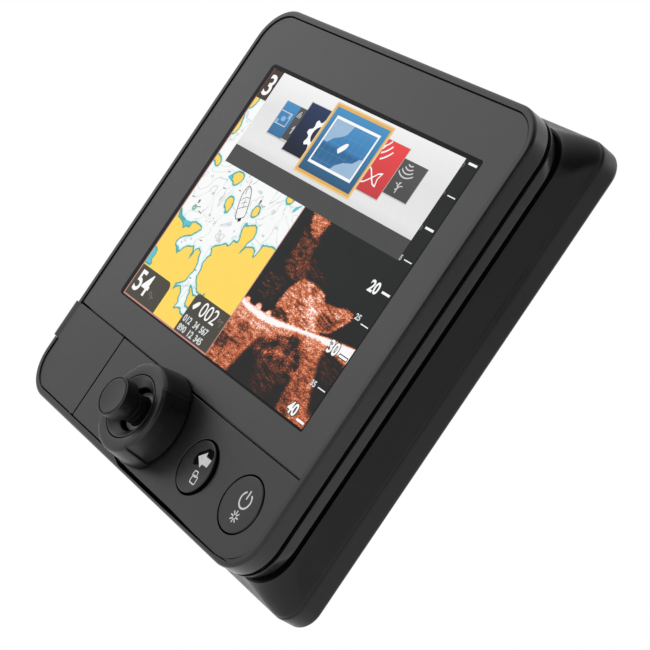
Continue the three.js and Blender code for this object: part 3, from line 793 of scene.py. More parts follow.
# painted shade: the window sheet's side walls take the black seal material
paint_second(sheet, on_sheet_wall)

panel_holes = [round_hole(KNOB, 9.3), round_hole(HOME, 8.70), round_hole(POWER, 8.92)]
panel = plate(panel_outline, panel_holes, 0.0, SHEET_BACK, 0.16, 0.1, 4)
finish(panel, "control_panel_plate", "panel_plastic", "seal_rubber_and_painted_shade", replaces="control_panel")
# painted shade: the panel's side walls take the black seal material
paint_second(panel, on_sheet_wall)


# ------------------------------------------------------------------ card door
def grip_ridge():
    """The low swelling across the front of the grip, tapered at both ends."""
    verts = []
    for z, k in ((GRIP_LOW, 0.55), (-67.45, 1.0), (-54.77, 1.0), (GRIP_HIGH, 0.55)):
        crest = [(-75.7, -0.06), (-76.5, -0.24), (-77.2, -0.38), (-77.8, -0.4), (-78.3, -0.3),
                 (-78.65, -0.05)]
        section = [(-75.0, 0.5), (-75.0, 0.01)] + [(x, y * k) for x, y in crest]
        verts += [(x, y, z) for x, y in section + [(-78.79, 0.3), (-78.79, 0.5)]]
    faces = [(a + i, a + (i + 1) % 10, a + 10 + (i + 1) % 10, a + 10 + i)
             for a in (0, 10, 20) for i in range(10)]
    return make(verts, faces + [tuple(range(10)), tuple(reversed(range(30, 40)))])


def card_door():
    right, high = SEAM_X - DOOR_GAP, SEAM_Z - DOOR_GAP
    # (x, z, corner radius), counter-clockwise from the right bottom corner
    outline = closed_fillet([
        (right, SHEET_LOW, 0.5), (right, high, 0.5), (SHEET_LEFT - 0.1, high, 0.12),
        (SHEET_LEFT - 0.1, GRIP_HIGH, 0.12), (GRIP_LEFT, GRIP_HIGH, 1.1),
        (GRIP_LEFT, GRIP_LOW, 1.1), (SHEET_LEFT, GRIP_LOW, 0.2),
        (SHEET_LEFT, SHEET_LOW, SHEET_RADIUS),
    ], 14)
    door = plate(lambda inward: offset(outline, inward) if inward > 0 else outline, [],
                 0.0, SHEET_BACK, 0.14, 0.1, 3)
    grip_levels = [(0.0, 0.5), (0.0, 2.2), (0.12, 2.65), (0.4, 3.0), (0.8, 3.2)]  # (inset, y)
    grip = loft([
        (y, rounded((GRIP_LEFT + inward, SHEET_LEFT + 0.2, GRIP_LOW + inward, GRIP_HIGH - inward),
                    [0.1, 1.1, 1.1, 0.1], 8))
        for inward, y in grip_levels
    ])
    ridge = grip_ridge()
    barrel = lathe((0, 0), [(0.75, 0), (1.4, 0), (1.4, 25.9), (0.75, 25.9)], 32, closed=True)
    stand_up(barrel, (HINGE_X, HINGE_Y, -56.6))
    # then down, to end just above the door's low edge
    barrel_low = min(v.co.z for v in barrel.data.vertices)
    barrel.data.transform(Matrix.Translation((0, 0, (SHEET_LOW + 0.6) - barrel_low)))
    boolean(door, [grip, ridge], "UNION")
    boolean(door, [block(-48.2, -41.0, 0.45, 5.0, -56.55, -50.0)])  # room for the hinge lug
    boolean(door, [barrel], "UNION")
    finish(door, "card_door_panel", "panel_plastic", "seal_rubber_and_painted_shade", body="door",
           replaces="card_door", smooth=30)
    # painted shade: the door's side walls take the black seal material
    paint_second(door, lambda c, normal: on_sheet_wall(c, normal) and c.x > SHEET_LEFT - 0.2
                 and abs(normal.y) < 0.5 and not (-48.3 < c.x < -43.5 and c.z < -56.0))


card_door()


# ------------------------------------------------------------------ rotary knob
def lobed(lobe, scallop):
    """Radius by angle: hollowed at left and right, full at top and bottom."""
    def radius(angle):
        side = abs((math.degrees(angle) + 90) % 180 - 90)
        full = ease((side - 46.0) / 2.2)
        hollow = scallop - 0.10 * math.cos(math.radians(side) * 90 / 47) * (1 - full)
        return hollow + (lobe - hollow) * full
    return radius


def rotary_knob():
    wall_top = 9.05
    # (lobe radius, scallop radius, y) from the foot up
    wall = [
        (15.1, 14.3, -0.6), (15.4, 14.6, -0.7), (15.5, 14.72, -0.95), (15.45, 14.62, -1.6),
        (15.33, 14.5, -2.6), (15.18, 14.34, -3.8), (15.0, 14.2, -5.2), (14.82, 14.06, -6.6),
        (14.62, 13.9, -8.0), (14.5, 13.84, -8.7), (14.42, 13.8, -wall_top),
    ]
    for k in range(1, 7):
        a = math.pi / 2 * k / 6
        wall.append((12.95 + 1.47 * math.cos(a), 12.8 + 1.0 * math.cos(a),
                     -(wall_top + (KNOB_TOP - wall_top) * math.sin(a))))
    profile = [(8.8, -0.6)] + [(lobed(lobe, scallop), y) for lobe, scallop, y in wall]
    profile += [(12.0, -KNOB_TOP), (10.5, -KNOB_TOP), (10.36, -KNOB_TOP + 0.05),
                (10.3, -KNOB_TOP + 0.18), (10.3, -7.0), (8.8, -7.0)]
    finish(lathe(KNOB, profile, 264, closed=True), "rotary_knob_body", "knob_plastic",
           body="knob", replaces="rotary_knob", smooth=24)

    dish = closed_fillet([
        (7.0, -7.2, 0.15), (10.0, -7.2, 0.1), (10.0, -KNOB_TOP, 0.16), (9.62, -KNOB_TOP, 0.35),
        (7.35, -8.45, 0.9), (7.0, -8.1, 0.22),
    ], 5)
    finish(lathe(KNOB, dish, 160, closed=True), "knob_dish_ring", "knob_plastic", body="knob",
           replaces="knob_trim_ring")


def joystick():
    # (radius, y), out from the middle of the cap's top
    profile = [
        (0, -17.36), (2.5, -17.38), (4.2, -17.46), (4.9, -17.52), (5.36, -17.54), (5.5, -17.46),
        (5.56, -17.16), (5.74, -17.16), (5.82, -17.46), (5.94, -17.58),
    ]
    profile += fillet([(5.94, -17.58), (6.35, -17.56, 0.30), (6.35, -12.9, 0.35), (2.75, -12.9),
                       (2.75, -15.6), (0, -15.6)], steps=5)[1:]
    finish(lathe(KNOB, profile, 128), "joystick_thumb_cap", "knob_plastic", body="stick",
           replaces="joystick_cap")

    folds = closed_fillet([
        (2.7, -12.7), (5.0, -12.7, 0.3), (4.75, -11.6, 0.5), (4.3, -10.9, 0.4), (4.6, -10.1, 0.4),
        (4.25, -9.2, 0.4), (4.6, -8.3, 0.4), (4.3, -7.3, 0.5), (4.6, -6.35, 0.6),
        (6.3, -6.0, 0.25), (6.3, -5.2, 0.25), (3.4, -4.6, 0.3), (2.7, -4.6),
    ])
    boot = lathe(KNOB, folds, 96, closed=True)
    finish(boot, "joystick_rubber_boot", "rubber", "flange_painted_light", body="stick",
           replaces="joystick_boot")
    # painted light: the flange faces take the pale material
    paint_second(boot, lambda c, normal: c.y > -6.5
                 and math.hypot(c.x - KNOB[0], c.z - KNOB[1]) > 4.75)


rotary_knob()
joystick()


# ------------------------------------------------------------------ push keys
def key(name, centre, radius, top, tilt):
    """tilt: how much lower the left edge of the cap stands than its right edge."""
    profile = [(0.0, -top), (radius * 0.35, -top), (radius * 0.7, -top)]
    profile += fillet([
        (radius * 0.7, -top), (radius, -top, 0.42), (radius, 2.1), (9.7, 2.1, 0.2),
        (9.7, 3.0, 0.2), (2.0, 3.0), (2.0, 7.3), (0, 7.3),
    ], steps=6)[1:]
    cap = lathe(centre, profile, 128)
    for v in cap.data.vertices:
        if v.co.y < 0.2:
            leftness = (radius - (v.co.x - centre[0])) / (2 * radius)
            v.co.y += tilt * leftness * min(1.0, (0.2 - v.co.y) / (0.2 + top - 0.5))
    finish(cap, f"{name}_key_cap", "key_plastic", "seal_rubber_and_painted_shade", body=f"{name}_key",
           replaces=f"{name}_button")
    # painted shade: the cap's flange and side wall take the black seal material
    paint_second(cap, lambda c, normal: c.y > 0.12 or abs(normal.y) < 0.35)


key("home", HOME, 8.14, HOME_TOP, HOME_TILT)
key("power", POWER, 8.46, POWER_TOP, 0.0)


# ------------------------------------------------------------------ flat shapes
# A shape is a list of loops: its outline first, then its holes.
def flat(shapes, front, back, follow=None):
    """Thin plates in one mesh. follow(x) is added to y."""
    def fixed(loop):
        return lambda _: loop

    piece = joined([
        plate(fixed(loops[0]), [fixed(loop) for loop in loops[1:]], front, back, 0.0, 0.0, 1)
        for loops in shapes
    ])
    tidy(piece.data, gap=1e-6)
    if follow:
        for v in piece.data.vertices:
            v.co.y += follow(v.co.x)
    return piece


def ribbon(line, width, closed=False):
    """A line of even width. A closed line is counter-clockwise and leaves a hole inside."""
    count = len(line)
    left, right = [], []
    for i in range(count):
        here = Vector(line[i])
        before = Vector(line[i - 1]) if closed or i > 0 else here
        after = Vector(line[(i + 1) % count]) if closed or i < count - 1 else here
        come, leave = here - before, after - here
        if come.length < 1e-9:
            come = leave
        if leave.length < 1e-9:
            leave = come
        come, leave = come.normalized(), leave.normalized()
        normal = Vector((-come.y, come.x))
        mitre = normal + Vector((-leave.y, leave.x))
        share = mitre.dot(normal)
        mitre = mitre / share if share > 0.6 else mitre.normalized() * 1.1
        left.append(tuple(here + mitre * width / 2))
        right.append(tuple(here - mitre * width / 2))
    return [right, left] if closed else [left + right[::-1]]


def ring_arc(x, z, radius, width, start, end, steps=40):
    """A curved ribbon, angles in degrees."""
    angles = [math.radians(start + (end - start) * i / steps) for i in range(steps + 1)]
    return ribbon([(x + radius * math.cos(a), z + radius * math.sin(a)) for a in angles], width)


# ------------------------------------------------------------------ key prints
def home_key_y(x):
    return -HOME_TOP + HOME_TILT * (8.25 - (x - HOME[0])) / 16.5


def key_print(piece, name, key_name, material="white_ink"):
    finish(piece, name, material, body=key_name, weighted=False)


def key_prints():
    arrow = [(26.1, -66.8), (29.6, -69.1), (29.95, -67.9), (32.8, -67.75), (33.0, -65.35),
             (29.65, -65.5), (29.3, -64.2)]
    pages = [
        ribbon(closed_fillet([(28.75, -72.0, 0.35), (31.1, -71.9, 0.35), (30.75, -70.25, 0.35),
                              (28.95, -70.4, 0.35)]), 0.40, True),
        ribbon(closed_fillet([(29.25, -73.9, 0.5), (32.2, -73.9, 0.5), (32.0, -71.5, 0.5),
                              (29.25, -71.7, 0.5)]), 0.42, True),
    ]
    key_print(flat([[arrow]] + pages, -0.02, 0.03, home_key_y), "home_key_print", "home_key")
    # painted shadow: a black shape round the arrow's upper left, standing in for its shade
    shadow = closed_fillet([
        (26.1, -69.6), (24.8, -68.2, 0.5), (25.2, -65.9, 0.8), (27.9, -63.9, 0.5), (29.1, -62.9),
        (31.7, -62.9, 0.5), (32.8, -64.0), (32.9, -65.3), (29.8, -65.0), (29.4, -64.1),
        (26.6, -66.5), (28.6, -68.7),
    ])
    key_print(flat([[shadow]], -0.012, 0.03, home_key_y), "home_key_shade", "home_key",
              "painted_shadow_black")

    power_x, power_z = 54.6, -67.6
    sun_x, sun_z = 54.5, -72.9
    shapes = [ring_arc(power_x, power_z, 2.45, 0.56, 122, 418),
              ribbon([(power_x, power_z + 3.0), (power_x, power_z + 0.3)], 0.56)]
    for k in range(8):
        a = math.pi / 4 * k
        ray = [(sun_x + r * math.cos(a), sun_z + r * math.sin(a)) for r in (0.55, 1.85)]
        shapes.append(ribbon(ray, 0.42))
    key_print(flat(shapes, -POWER_TOP - 0.02, -POWER_TOP + 0.03), "power_key_print", "power_key")


key_prints()


# ------------------------------------------------------------------ seals and middle frame
def seal(profile, name, node, **options):
    piece = sweep(closed_fillet(profile, 3), **options)
    finish(piece, name, "seal_rubber_and_painted_shade", replaces=node)


def mid_outline(inward, y):
    """The middle frame's corners are cut rounder towards the back."""
    t = min(max((y - MID_FRONT) / 3.0, 0), 1)
    return face_loop(inward, 13.0 + 2.5 * t * t - inward)


def rear_seal_outline(inward, y):
    return face_loop(inward, 13 + 4.0 * min(max((11.98 - y) / 1.2, 0), 1) - inward)


def fixed_opening(rect):
    return lambda _: rounded(rect, 0.6, 3)


def mid_frame():
    moulding = sweep(closed_fillet([
        (0.0, MID_FRONT, 0.25), (0.08, MID_FRONT + 4.0, 0.95), (2.2, MID_FRONT + 4.0),
        (2.2, MID_STEP), (5.3, MID_STEP), (5.3, MID_FRONT),
    ], 5), mid_outline)
    wall_front = MID_FRONT + 0.05
    wall = sweep([(4.45, wall_front), (4.45, 12.6), (5.35, 12.6), (5.35, wall_front)],
                 lambda inward, y: face_loop(inward, 15 - inward))
    openings = [(-30, 14, -51.5, -44.2), (-20, 8, -64, -56.5), (-69.5, -50.5, -74.5, -64)]
    floor = plate(lambda inward: face_loop(5.0 + inward, 9.0),
                  [fixed_opening(rect) for rect in openings], 11.4, 12.55, 0.1, 0.1, 1)
    boolean(moulding, [wall, floor], "UNION")
    board_boss = [(1.2, 12.45), (2.5, 12.45), (2.5, 14.4), (1.2, 14.4)]
    corner_boss = [(1.75, MID_FRONT + 0.1), (3.4, MID_FRONT + 0.1), (3.4, 12.4), (1.75, 12.4)]
    bosses = [lathe(centre, board_boss, 32, closed=True)
              for centre in [(-58, 38), (50, 38), (-44, -58), (50, -58)]]
    bosses += [lathe(corner, corner_boss, 32, closed=True) for corner in CORNERS]
    finish(joined([moulding] + bosses), "mid_frame_moulding", "frame_plastic",
           replaces="mid_frame", smooth=30)


seal([(0.45, BEZEL_BACK - 0.82, 0.1), (0.45, 6.88, 0.12), (2.4, 6.88), (2.4, 6.42), (0.97, 6.42),
      (0.97, BEZEL_BACK - 0.82)], "front_gasket", "front_seal")
mid_frame()
seal([(2.3, 9.52), (2.3, 10.9, 0.2), (0.8, 11.4, 0.2), (0.8, 11.98, 0.1), (4.2, 11.98),
      (4.2, 9.52)], "rear_gasket", "rear_seal", outline=rear_seal_outline)


# ------------------------------------------------------------------ rear housing
def pod_loop(inward, radius):
    return rounded(inset(POD, inward), radius, 16)


def rear_housing():
    # (y, inset, corner radius) of the outer shell
    outside = [
        (12.0, 0.12, 12.9), (12.12, 0.02, 13.0), (12.6, -0.12, 12.9), (13.2, -0.35, 12.6),
        (14.3, -0.84, 11.9), (15.4, -1.42, 11.0), (16.6, -2.1, 10.0), (17.9, -2.72, 9.2),
        (19.0, -3.18, 8.4), (19.6, -3.40, 8.05), (19.95, -3.47, 7.85), (20.2, -3.46, 7.7),
        (20.4, -3.48, 7.6), (20.6, -3.56, 7.5), (20.85, -3.69, 7.5), (21.15, -3.75, 7.5),
        (22.0, -3.75, 7.5), (25.4, -3.75, 7.5),
    ]
    for k in range(7):
        a = math.pi / 2 * k / 6
        outside.append((26.6 + 1.4 * math.sin(a), -3.75 + 1.4 * (1 - math.cos(a)),
                        7.5 - 1.4 * (1 - math.cos(a))))
    shell = loft([(y, face_loop(inward, radius, 20)) for y, inward, radius in outside])
    # (y, inset, corner radius) of the pod
    pod = [(27.0, 0.0, 10.0), (28.0, -1.3, 11.3), (28.12, -0.8, 10.8), (28.4, -0.38, 10.4),
           (28.8, -0.1, 10.1), (29.4, 0.05, 9.95), (44.0, 0.9, 9.1)]
    for k in range(6):
        a = math.pi / 2 * k / 5
        pod.append((44.4 + 1.6 * math.sin(a), 1.0 + 1.6 * (1 - math.cos(a)),
                    9.0 - 1.6 * (1 - math.cos(a))))
    boolean(shell, [loft([(y, pod_loop(inward, radius)) for y, inward, radius in pod])], "UNION")
    hollow = [(10, 2.5, 10.5), (12.5, 2.5, 10.5), (20.5, -0.65, 6.0), (25.5, -0.65, 6.0)]
    boolean(shell, [
        loft([(y, face_loop(inward, radius, 20)) for y, inward, radius in hollow]),
        loft([(y, pod_loop(3.6, 6.5)) for y in (24, 43.2)]),
    ])
    corner_post = [(0, 12.7), (3.8, 12.7), (3.8, 26.0), (0, 26.0)]
    insert_post = [(0, 36.5), (4.6, 36.5), (4.6, 44.0), (0, 44.0)]
    boolean(shell, [lathe(corner, corner_post, 40) for corner in CORNERS]
            + [lathe(centre, insert_post, 40) for centre in INSERTS], "UNION")
    # holes, each with a chamfered mouth: (radius, y)
    screw_hole = [(0, 5), (1.8, 5), (1.8, 25.4), (3.4, 25.4), (3.4, 27.65), (3.75, 28.01),
                  (3.75, 60), (0, 60)]
    insert_hole = [(0, 38.5), (2.7, 38.5), (2.7, 45.75), (2.98, 46.01), (2.98, 60), (0, 60)]
    socket_hole = [(0, 20), (10.3, 20), (10.3, 27.4), (13.6, 27.4), (13.6, 27.85), (13.8, 28.01),
                   (13.8, 40), (0, 40)]
    vent_hole = [(0, 20), (3.3, 20), (3.3, 27.4), (5.4, 27.4), (5.4, 27.85), (5.6, 28.01),
                 (5.6, 40), (0, 40)]
    boolean(shell, [lathe(corner, screw_hole, 48) for corner in CORNERS]
            + [lathe(centre, insert_hole, 48) for centre in INSERTS]
            + [lathe(SOCKET, socket_hole, 96), lathe(VENT, vent_hole, 64)])
    finish(shell, "rear_housing_shell", "housing_plastic", replaces="rear_housing", smooth=26)


def case_screws():
    """Screws with a hexagon socket."""
    for i, corner in enumerate(CORNERS, 1):
        profile = fillet([(0, 27.5), (2.6, 27.5), (3.0, 27.5, 0.3), (3.0, 25.5, 0.05),
                          (1.5, 25.5), (1.5, 5.0), (0, 5.0)])
        screw = lathe(corner, profile, 64)
        hexagon = circle(corner, 1.4, 6)
        boolean(screw, [loft([(26.3, hexagon), (30, hexagon)])])
        finish(screw, f"case_screw_{i}_fine", "steel", replaces=f"case_screw_{i}", smooth=30)


def mount_inserts():
    """Brass inserts, ridged inside like a thread."""
    front, thread_top, pitch = 39.4, 45.5, 0.36
    profile = [(2.45, front), (2.45, 45.6), (2.3, 45.8), (1.95, 45.8), (1.7, 45.55)]
    for k in range(16):
        y = thread_top - pitch * k
        profile += [(1.5, y - pitch / 2), (1.68, y - pitch)]
    profile.append((1.7, front))
    for i, centre in enumerate(INSERTS, 1):
        finish(lathe(centre, profile, 48, closed=True), f"mount_insert_{i}_fine", "brass",
               replaces=f"mount_insert_{i}", smooth=40)


def cable_socket():
    """The socket's keyed collar, gasket, core and pins."""
    x, z = SOCKET
    collar = closed_fillet([
        (8.6, 21.0), (10.0, 21.0), (10.0, 27.9), (13.2, 28.0, 0.2), (13.2, 31.0, 0.5),
        (10.3, 31.0, 0.4), (10.0, 31.8, 0.3), (10.0, 41.0, 0.35), (8.6, 41.0, 0.35),
    ])
    shell = lathe(SOCKET, collar, 128, closed=True)
    rib_levels = [(29.0, 0), (40.5, 0), (40.85, 0.12), (41.0, 0.35)]  # (y, inset)
    rib = loft([(y, rounded((x - 1.4 + d, x + 1.4 - d, z + 9.5, z + 11.2 - d), 0.3, 4))
                for y, d in rib_levels])
    boolean(shell, [rib], "UNION")
    finish(shell, "cable_socket_shell", "moulded_component", replaces="cable_socket", smooth=30)
    gasket = closed_fillet([(10.35, 27.42, 0.15), (12.8, 27.42, 0.15), (12.8, 27.95, 0.2),
                            (10.35, 27.95, 0.2)], 3)
    finish(lathe(SOCKET, gasket, 96, closed=True), "cable_socket_gasket", "seal_rubber_and_painted_shade",
           replaces="cable_socket_seal")
    core = fillet([(0, 24.0), (8.4, 24.0), (8.4, 30.0, 0.3), (0, 30.0)])
    finish(lathe(SOCKET, core, 96), "cable_socket_core", "moulded_component")
    pin = fillet([(0, 22.6), (0.8, 22.6), (0.8, 35.0, 0.55), (0, 35.0)], steps=5)
    pins = []
    for k in range(5):
        a = k * 2 * math.pi / 5 + math.pi / 2
        pins.append(lathe((x + 4.6 * math.cos(a), z + 4.6 * math.sin(a)), pin, 28))
    finish(joined(pins), "cable_socket_contacts", "brass", replaces="cable_socket_pins")


def vent_plug():
    profile = fillet([(0, 24.0), (3.1, 24.0), (3.1, 27.45), (5.0, 27.45, 0.1), (5.0, 28.6, 0.45),
                      (3.6, 28.6, 0.15), (3.2, 28.2, 0.15), (0, 28.2)])
    finish(lathe(VENT, profile, 64), "vent_plug_cap", "rubber", replaces="vent_plug")


rear_housing()
case_screws()
mount_inserts()
cable_socket()
vent_plug()

# ------------------------------------------------------------------ CAD pieces kept as they are
KEPT = {
    "adhesive_foam": "window_adhesive panel_adhesive lcd_gasket",
    "steel": "card_door_hinge_pin joystick_press_dome board_screw_1 board_screw_2 "
             "board_screw_3 board_screw_4",
    "rubber": "card_door_seal",
    "keypad_rubber": "keypad_membrane",
    "moulded_component": "encoder_rotor encoder_body joystick_stem joystick_cradle "
                         "joystick_gimbal joystick_housing home_switch power_switch "
                         "alarm_buzzer power_capacitor",
    "circuit_board": "key_board main_board card_board",
    "lcd_glass": "lcd_panel",
    "tinplate": "lcd_backlight sonar_shield card_socket",
    "flex_film": "lcd_flex_cable key_cable",
    "aluminium": "processor_heat_sink cable_socket_nut",
    "ceramic": "gps_antenna",
}
for material, nodes in KEPT.items():
    for node in nodes.split():
        mesh = frame["nodes"][node].data
        mesh.materials.clear()
        mesh.materials.append(MATERIALS[material])

# ------------------------------------------------------------------ the lit picture
# Thin plates on the window sheet, stacked forwards by level, all lower than the bezel's rim.
LEVEL_STEP = 0.011


def level_y(level):
    return -0.012 - LEVEL_STEP * level


def picture(piece, name, material):
    finish(piece, "picture_" + name, material, weighted=False)


def art(name, shapes, level, material):
    picture(flat(shapes, level_y(level), 0.008), name, material)


def glyphs(name, rows, level, material, bold=0.02):
    """rows: (text, left, right, low, high), each set to fill its own box."""
    texts = []
    for text, left, right, low, high in rows:
        curve = bpy.data.curves.new("text", "FONT")
        curve.body = text
        curve.resolution_u = 5
        curve.offset = bold
        curve.extrude = 0.5
        curve.fill_mode = "BOTH"
        writing = place(curve)
        graph = bpy.context.evaluated_depsgraph_get()
        mesh = bpy.data.meshes.new_from_object(writing.evaluated_get(graph), depsgraph=graph)
        bpy.data.objects.remove(writing)
        xs = [v.co.x for v in mesh.vertices]
        ys = [v.co.y for v in mesh.vertices]
        start, width = min(xs), max(xs) - min(xs)
        foot, height = min(ys), max(ys) - min(ys)
        for v in mesh.vertices:
            x = left + (v.co.x - start) / width * (right - left)
            z = low + (v.co.y - foot) / height * (high - low)
            v.co = (x, level_y(level) if v.co.z > 0 else 0.008, z)
        tidy(mesh, gap=1e-4)
        texts.append(place(mesh))
    picture(joined(texts), name, material)


def field_plate(name, rect, step, fields, material):
    """A thin plate whose front is a fine grid carrying named values for its material."""
    left, right, low, high = rect
    across, rows = int(round((right - left) / step)) + 1, int(round((high - low) / step)) + 1
    xs, zs = np.linspace(left, right, across), np.linspace(low, high, rows)
    grid_x, grid_z = np.meshgrid(xs, zs)
    verts = [(x, level_y(1), z) for z in zs for x in xs]
    faces = []
    for j in range(rows - 1):
        for i in range(across - 1):
            a = j * across + i
            faces.append((a, a + 1, a + across + 1, a + across))
    rim = list(range(across)) + [j * across + across - 1 for j in range(1, rows)]
    rim += [(rows - 1) * across + i for i in range(across - 2, -1, -1)]
    rim += [j * across for j in range(rows - 2, 0, -1)]
    base, around = len(verts), len(rim)
    verts += [(verts[i][0], 0.006, verts[i][2]) for i in rim]
    for i in range(around):
        j = (i + 1) % around
        faces.append((rim[i], base + i, base + j, rim[j]))
    faces.append(tuple(range(base, base + around)))
    piece = make(verts, faces)
    for key_name, field in fields.items():
        values = np.zeros(len(verts), dtype=np.float32)
        values[:base] = field(grid_x.ravel(), grid_z.ravel())
        attribute = piece.data.attributes.new(key_name, "FLOAT", "POINT")
        attribute.data.foreach_set("value", values)
    picture(piece, name, material)


def signed_distance(outline, x, z):
    """Distance to a closed outline, negative inside."""
    corners = np.array(outline, dtype=float)
    distance = np.full(x.shape, 1e9)
    inside = np.zeros(x.shape, dtype=bool)
    for (ax, az), (bx, bz) in zip(corners, np.roll(corners, -1, axis=0)):
        run, rise = bx - ax, bz - az
        t = np.clip(((x - ax) * run + (z - az) * rise) / (run * run + rise * rise + 1e-12), 0, 1)
        distance = np.minimum(distance, np.hypot(x - ax - t * run, z - az - t * rise))
        crossing = ax + (z - az) * run / (rise if abs(rise) > 1e-12 else 1e-12)
        inside ^= ((az > z) != (bz > z)) & (x < crossing)
    return np.where(inside, -distance, distance)


# ------------------------------------------------------------------ chart
def roughened(points):
    """Breaks up an outline into a coast, leaving the pane's borders straight."""
    chance = random.Random(5)
    for _ in range(2):
        out = []
        for (x, z), (next_x, next_z) in pairs(points):
            out.append((x, z))
            length = math.hypot(next_x - x, next_z - z)
            at_border = abs(x) > 59.0 or abs(next_x) > 59.0 or z < -43.5 or next_z < -43.5
            if length > 0.5 and not at_border:
                k = chance.uniform(-0.13, 0.13) * length
                out.append(((x + next_x) / 2 - (next_z - z) / length * k,
                            (z + next_z) / 2 + (next_x - x) / length * k))
        points = out
    return points


# (x, z) outlines of the dry land
LAND = [roughened(points) for points in [
    [(-62, -10.3), (-57.3, -10.4), (-55.9, -11.4), (-54.2, -13.0), (-52.4, -12.9),
     (-50.9, -13.9), (-49.6, -15.3), (-48.9, -14.0), (-46.9, -14.0), (-46.6, -12.4),
     (-44.4, -11.9), (-41.2, -12.1), (-40.5, -12.8), (-41.8, -14.1), (-43.4, -15.7),
     (-45.9, -16.9), (-47.8, -18.1), (-48.6, -19.6), (-48.1, -21.1), (-46.4, -21.7),
     (-45.0, -22.9), (-43.9, -24.5), (-44.2, -22.7), (-42.6, -20.6), (-40.5, -19.2),
     (-38.5, -18.5), (-37.4, -19.8), (-37.0, -22.5), (-36.5, -19.5), (-35.0, -18.1),
     (-33.4, -18.8), (-32.6, -20.9), (-31.2, -22.9), (-31.1, -25.2), (-31.6, -27.9),
     (-33.1, -29.5), (-35.3, -30.7), (-35.1, -33.3), (-34.1, -32.0), (-32.0, -31.1),
     (-30.5, -32.4), (-29.8, -34.4), (-28.5, -35.2), (-28.7, -37.7), (-26.8, -36.8),
     (-25.4, -36.5), (-23.7, -37.9), (-20.9, -37.4), (-20, -46), (-62, -46)],
    [(-27.3, -29.0), (-25.5, -30.0), (-24.0, -31.0), (-20.5, -31.0), (-20.5, -34.3),
     (-23.6, -34.8), (-24.9, -33.0)],
    [(4, -6.0), (-3.2, -5.9), (-5.4, -6.3), (-7.2, -6.8), (-6.8, -8.6), (-7.9, -11.9),
     (-9.1, -9.6), (-11.6, -9.2), (-14.1, -10.1), (-15.5, -12.6), (-15.1, -10.3), (-13.9, -7.0),
     (-13.9, -5.0), (-15.1, -3.3), (-16.9, -3.1), (-18.6, -3.9), (-20.7, -4.6), (-20.9, -6.1),
     (-19.4, -8.2), (-18.9, -9.9), (-21.5, -10.3), (-22.2, -12.7), (-24.9, -12.7),
     (-27.2, -14.1), (-29.1, -15.8), (-27.2, -17.7), (-28.5, -19.2), (-28.2, -21.9),
     (-27.3, -25.3), (-24.8, -27.4), (-22.0, -29.2), (-19.3, -29.6), (-18.5, -28.0), (-15, -32),
     (4, -32)],
    [(-42.4, 7.0), (-41.0, 8.5), (-39.2, 8.9), (-37.2, 8.6), (-36.6, 7.2), (-37.5, 5.5),
     (-39.4, 4.7), (-41.2, 5.6)],
    [(-37.6, -1.0), (-36.9, 0.6), (-35.2, 0.9), (-33.8, -0.4), (-33.5, -2.6), (-33.7, -3.8),
     (-35.0, -3.4), (-36.6, -2.6)],
    [(-22.1, 0.8), (-21.4, 2.4), (-19.8, 2.5), (-18.7, 1.1), (-19.4, -0.5), (-21.0, -0.9)],
    [(-61, 10.6), (-57.4, 10.5), (-55.2, 10.0), (-53.3, 8.9), (-53.2, 7.4), (-54.4, 7.1),
     (-56.0, 8.2), (-57.6, 8.7), (-61, 8.8)],
    [(-10.4, 10.8), (-10.0, 8.6), (-8.8, 7.8), (-7.6, 8.2), (-6.0, 10.8)],
    [(-51.4, -8.0), (-50.8, -7.4), (-50.2, -7.9), (-50.7, -8.6)],
    [(-62, 34), (-57.3, 33.0), (-55.0, 32.2), (-55.2, 30.1), (-56.6, 28.4), (-62, 28)],
    [(-62, 26), (-57.2, 25.5), (-56.4, 23.8), (-55.4, 21.4), (-56.0, 19.0), (-57.6, 18.4),
     (-62, 18)],
]]
# (x, z) outlines of the shoals. The first two are cut out of the land.
SHOALS = [
    [(-62, -9.9), (-56.6, -10.3), (-54.4, -12.0), (-52.2, -12.4), (-50.0, -12.7), (-48.5, -12.4),
     (-46.6, -12.2), (-46.2, -14.5), (-48.4, -14.6), (-49.8, -16.0), (-51.4, -14.4),
     (-53.6, -13.8), (-56.0, -13.4), (-57.0, -11.4), (-62, -11)],
    [(-62, -24.6), (-56.4, -24.7), (-54.6, -25.4), (-54.0, -27.6), (-54.3, -29.0),
     (-52.9, -30.2), (-53.4, -31.4), (-62, -31.6)],
    [(-44.6, 5.9), (-42.2, 8.3), (-40.0, 9.3), (-38.6, 8.0), (-41.0, 5.0), (-43.4, 5.5)],
    [(-21.8, -3.6), (-20.6, -3.2), (-19.2, -4.3), (-20.4, -6.3), (-21.4, -5.6)],
    [(-4.6, 6.6), (-3.9, 8.2), (-2.4, 9.1), (-1.2, 9.8), (-2.2, 8.3), (-3.4, 6.5)],
    [(-46.6, -20.6), (-46.1, -22.4), (-44.2, -24.0), (-43.4, -22.6), (-44.6, -21.4)],
    [(-35.2, -4.4), (-34.4, -3.2), (-33.4, -3.6), (-34.2, -4.8)],
    [(-34.9, -31.6), (-33.5, -30.6), (-33.9, -32.6), (-34.6, -33.3)],
]


def shoal_field(x, z):
    return np.minimum.reduce([signed_distance(outline, x, z) for outline in SHOALS])


def land_field(x, z):
    distance = np.minimum.reduce([signed_distance(outline, x, z) for outline in LAND])
    for outline in SHOALS[:2]:
        distance = np.maximum(distance, -0.2 - signed_distance(outline, x, z))
    return distance


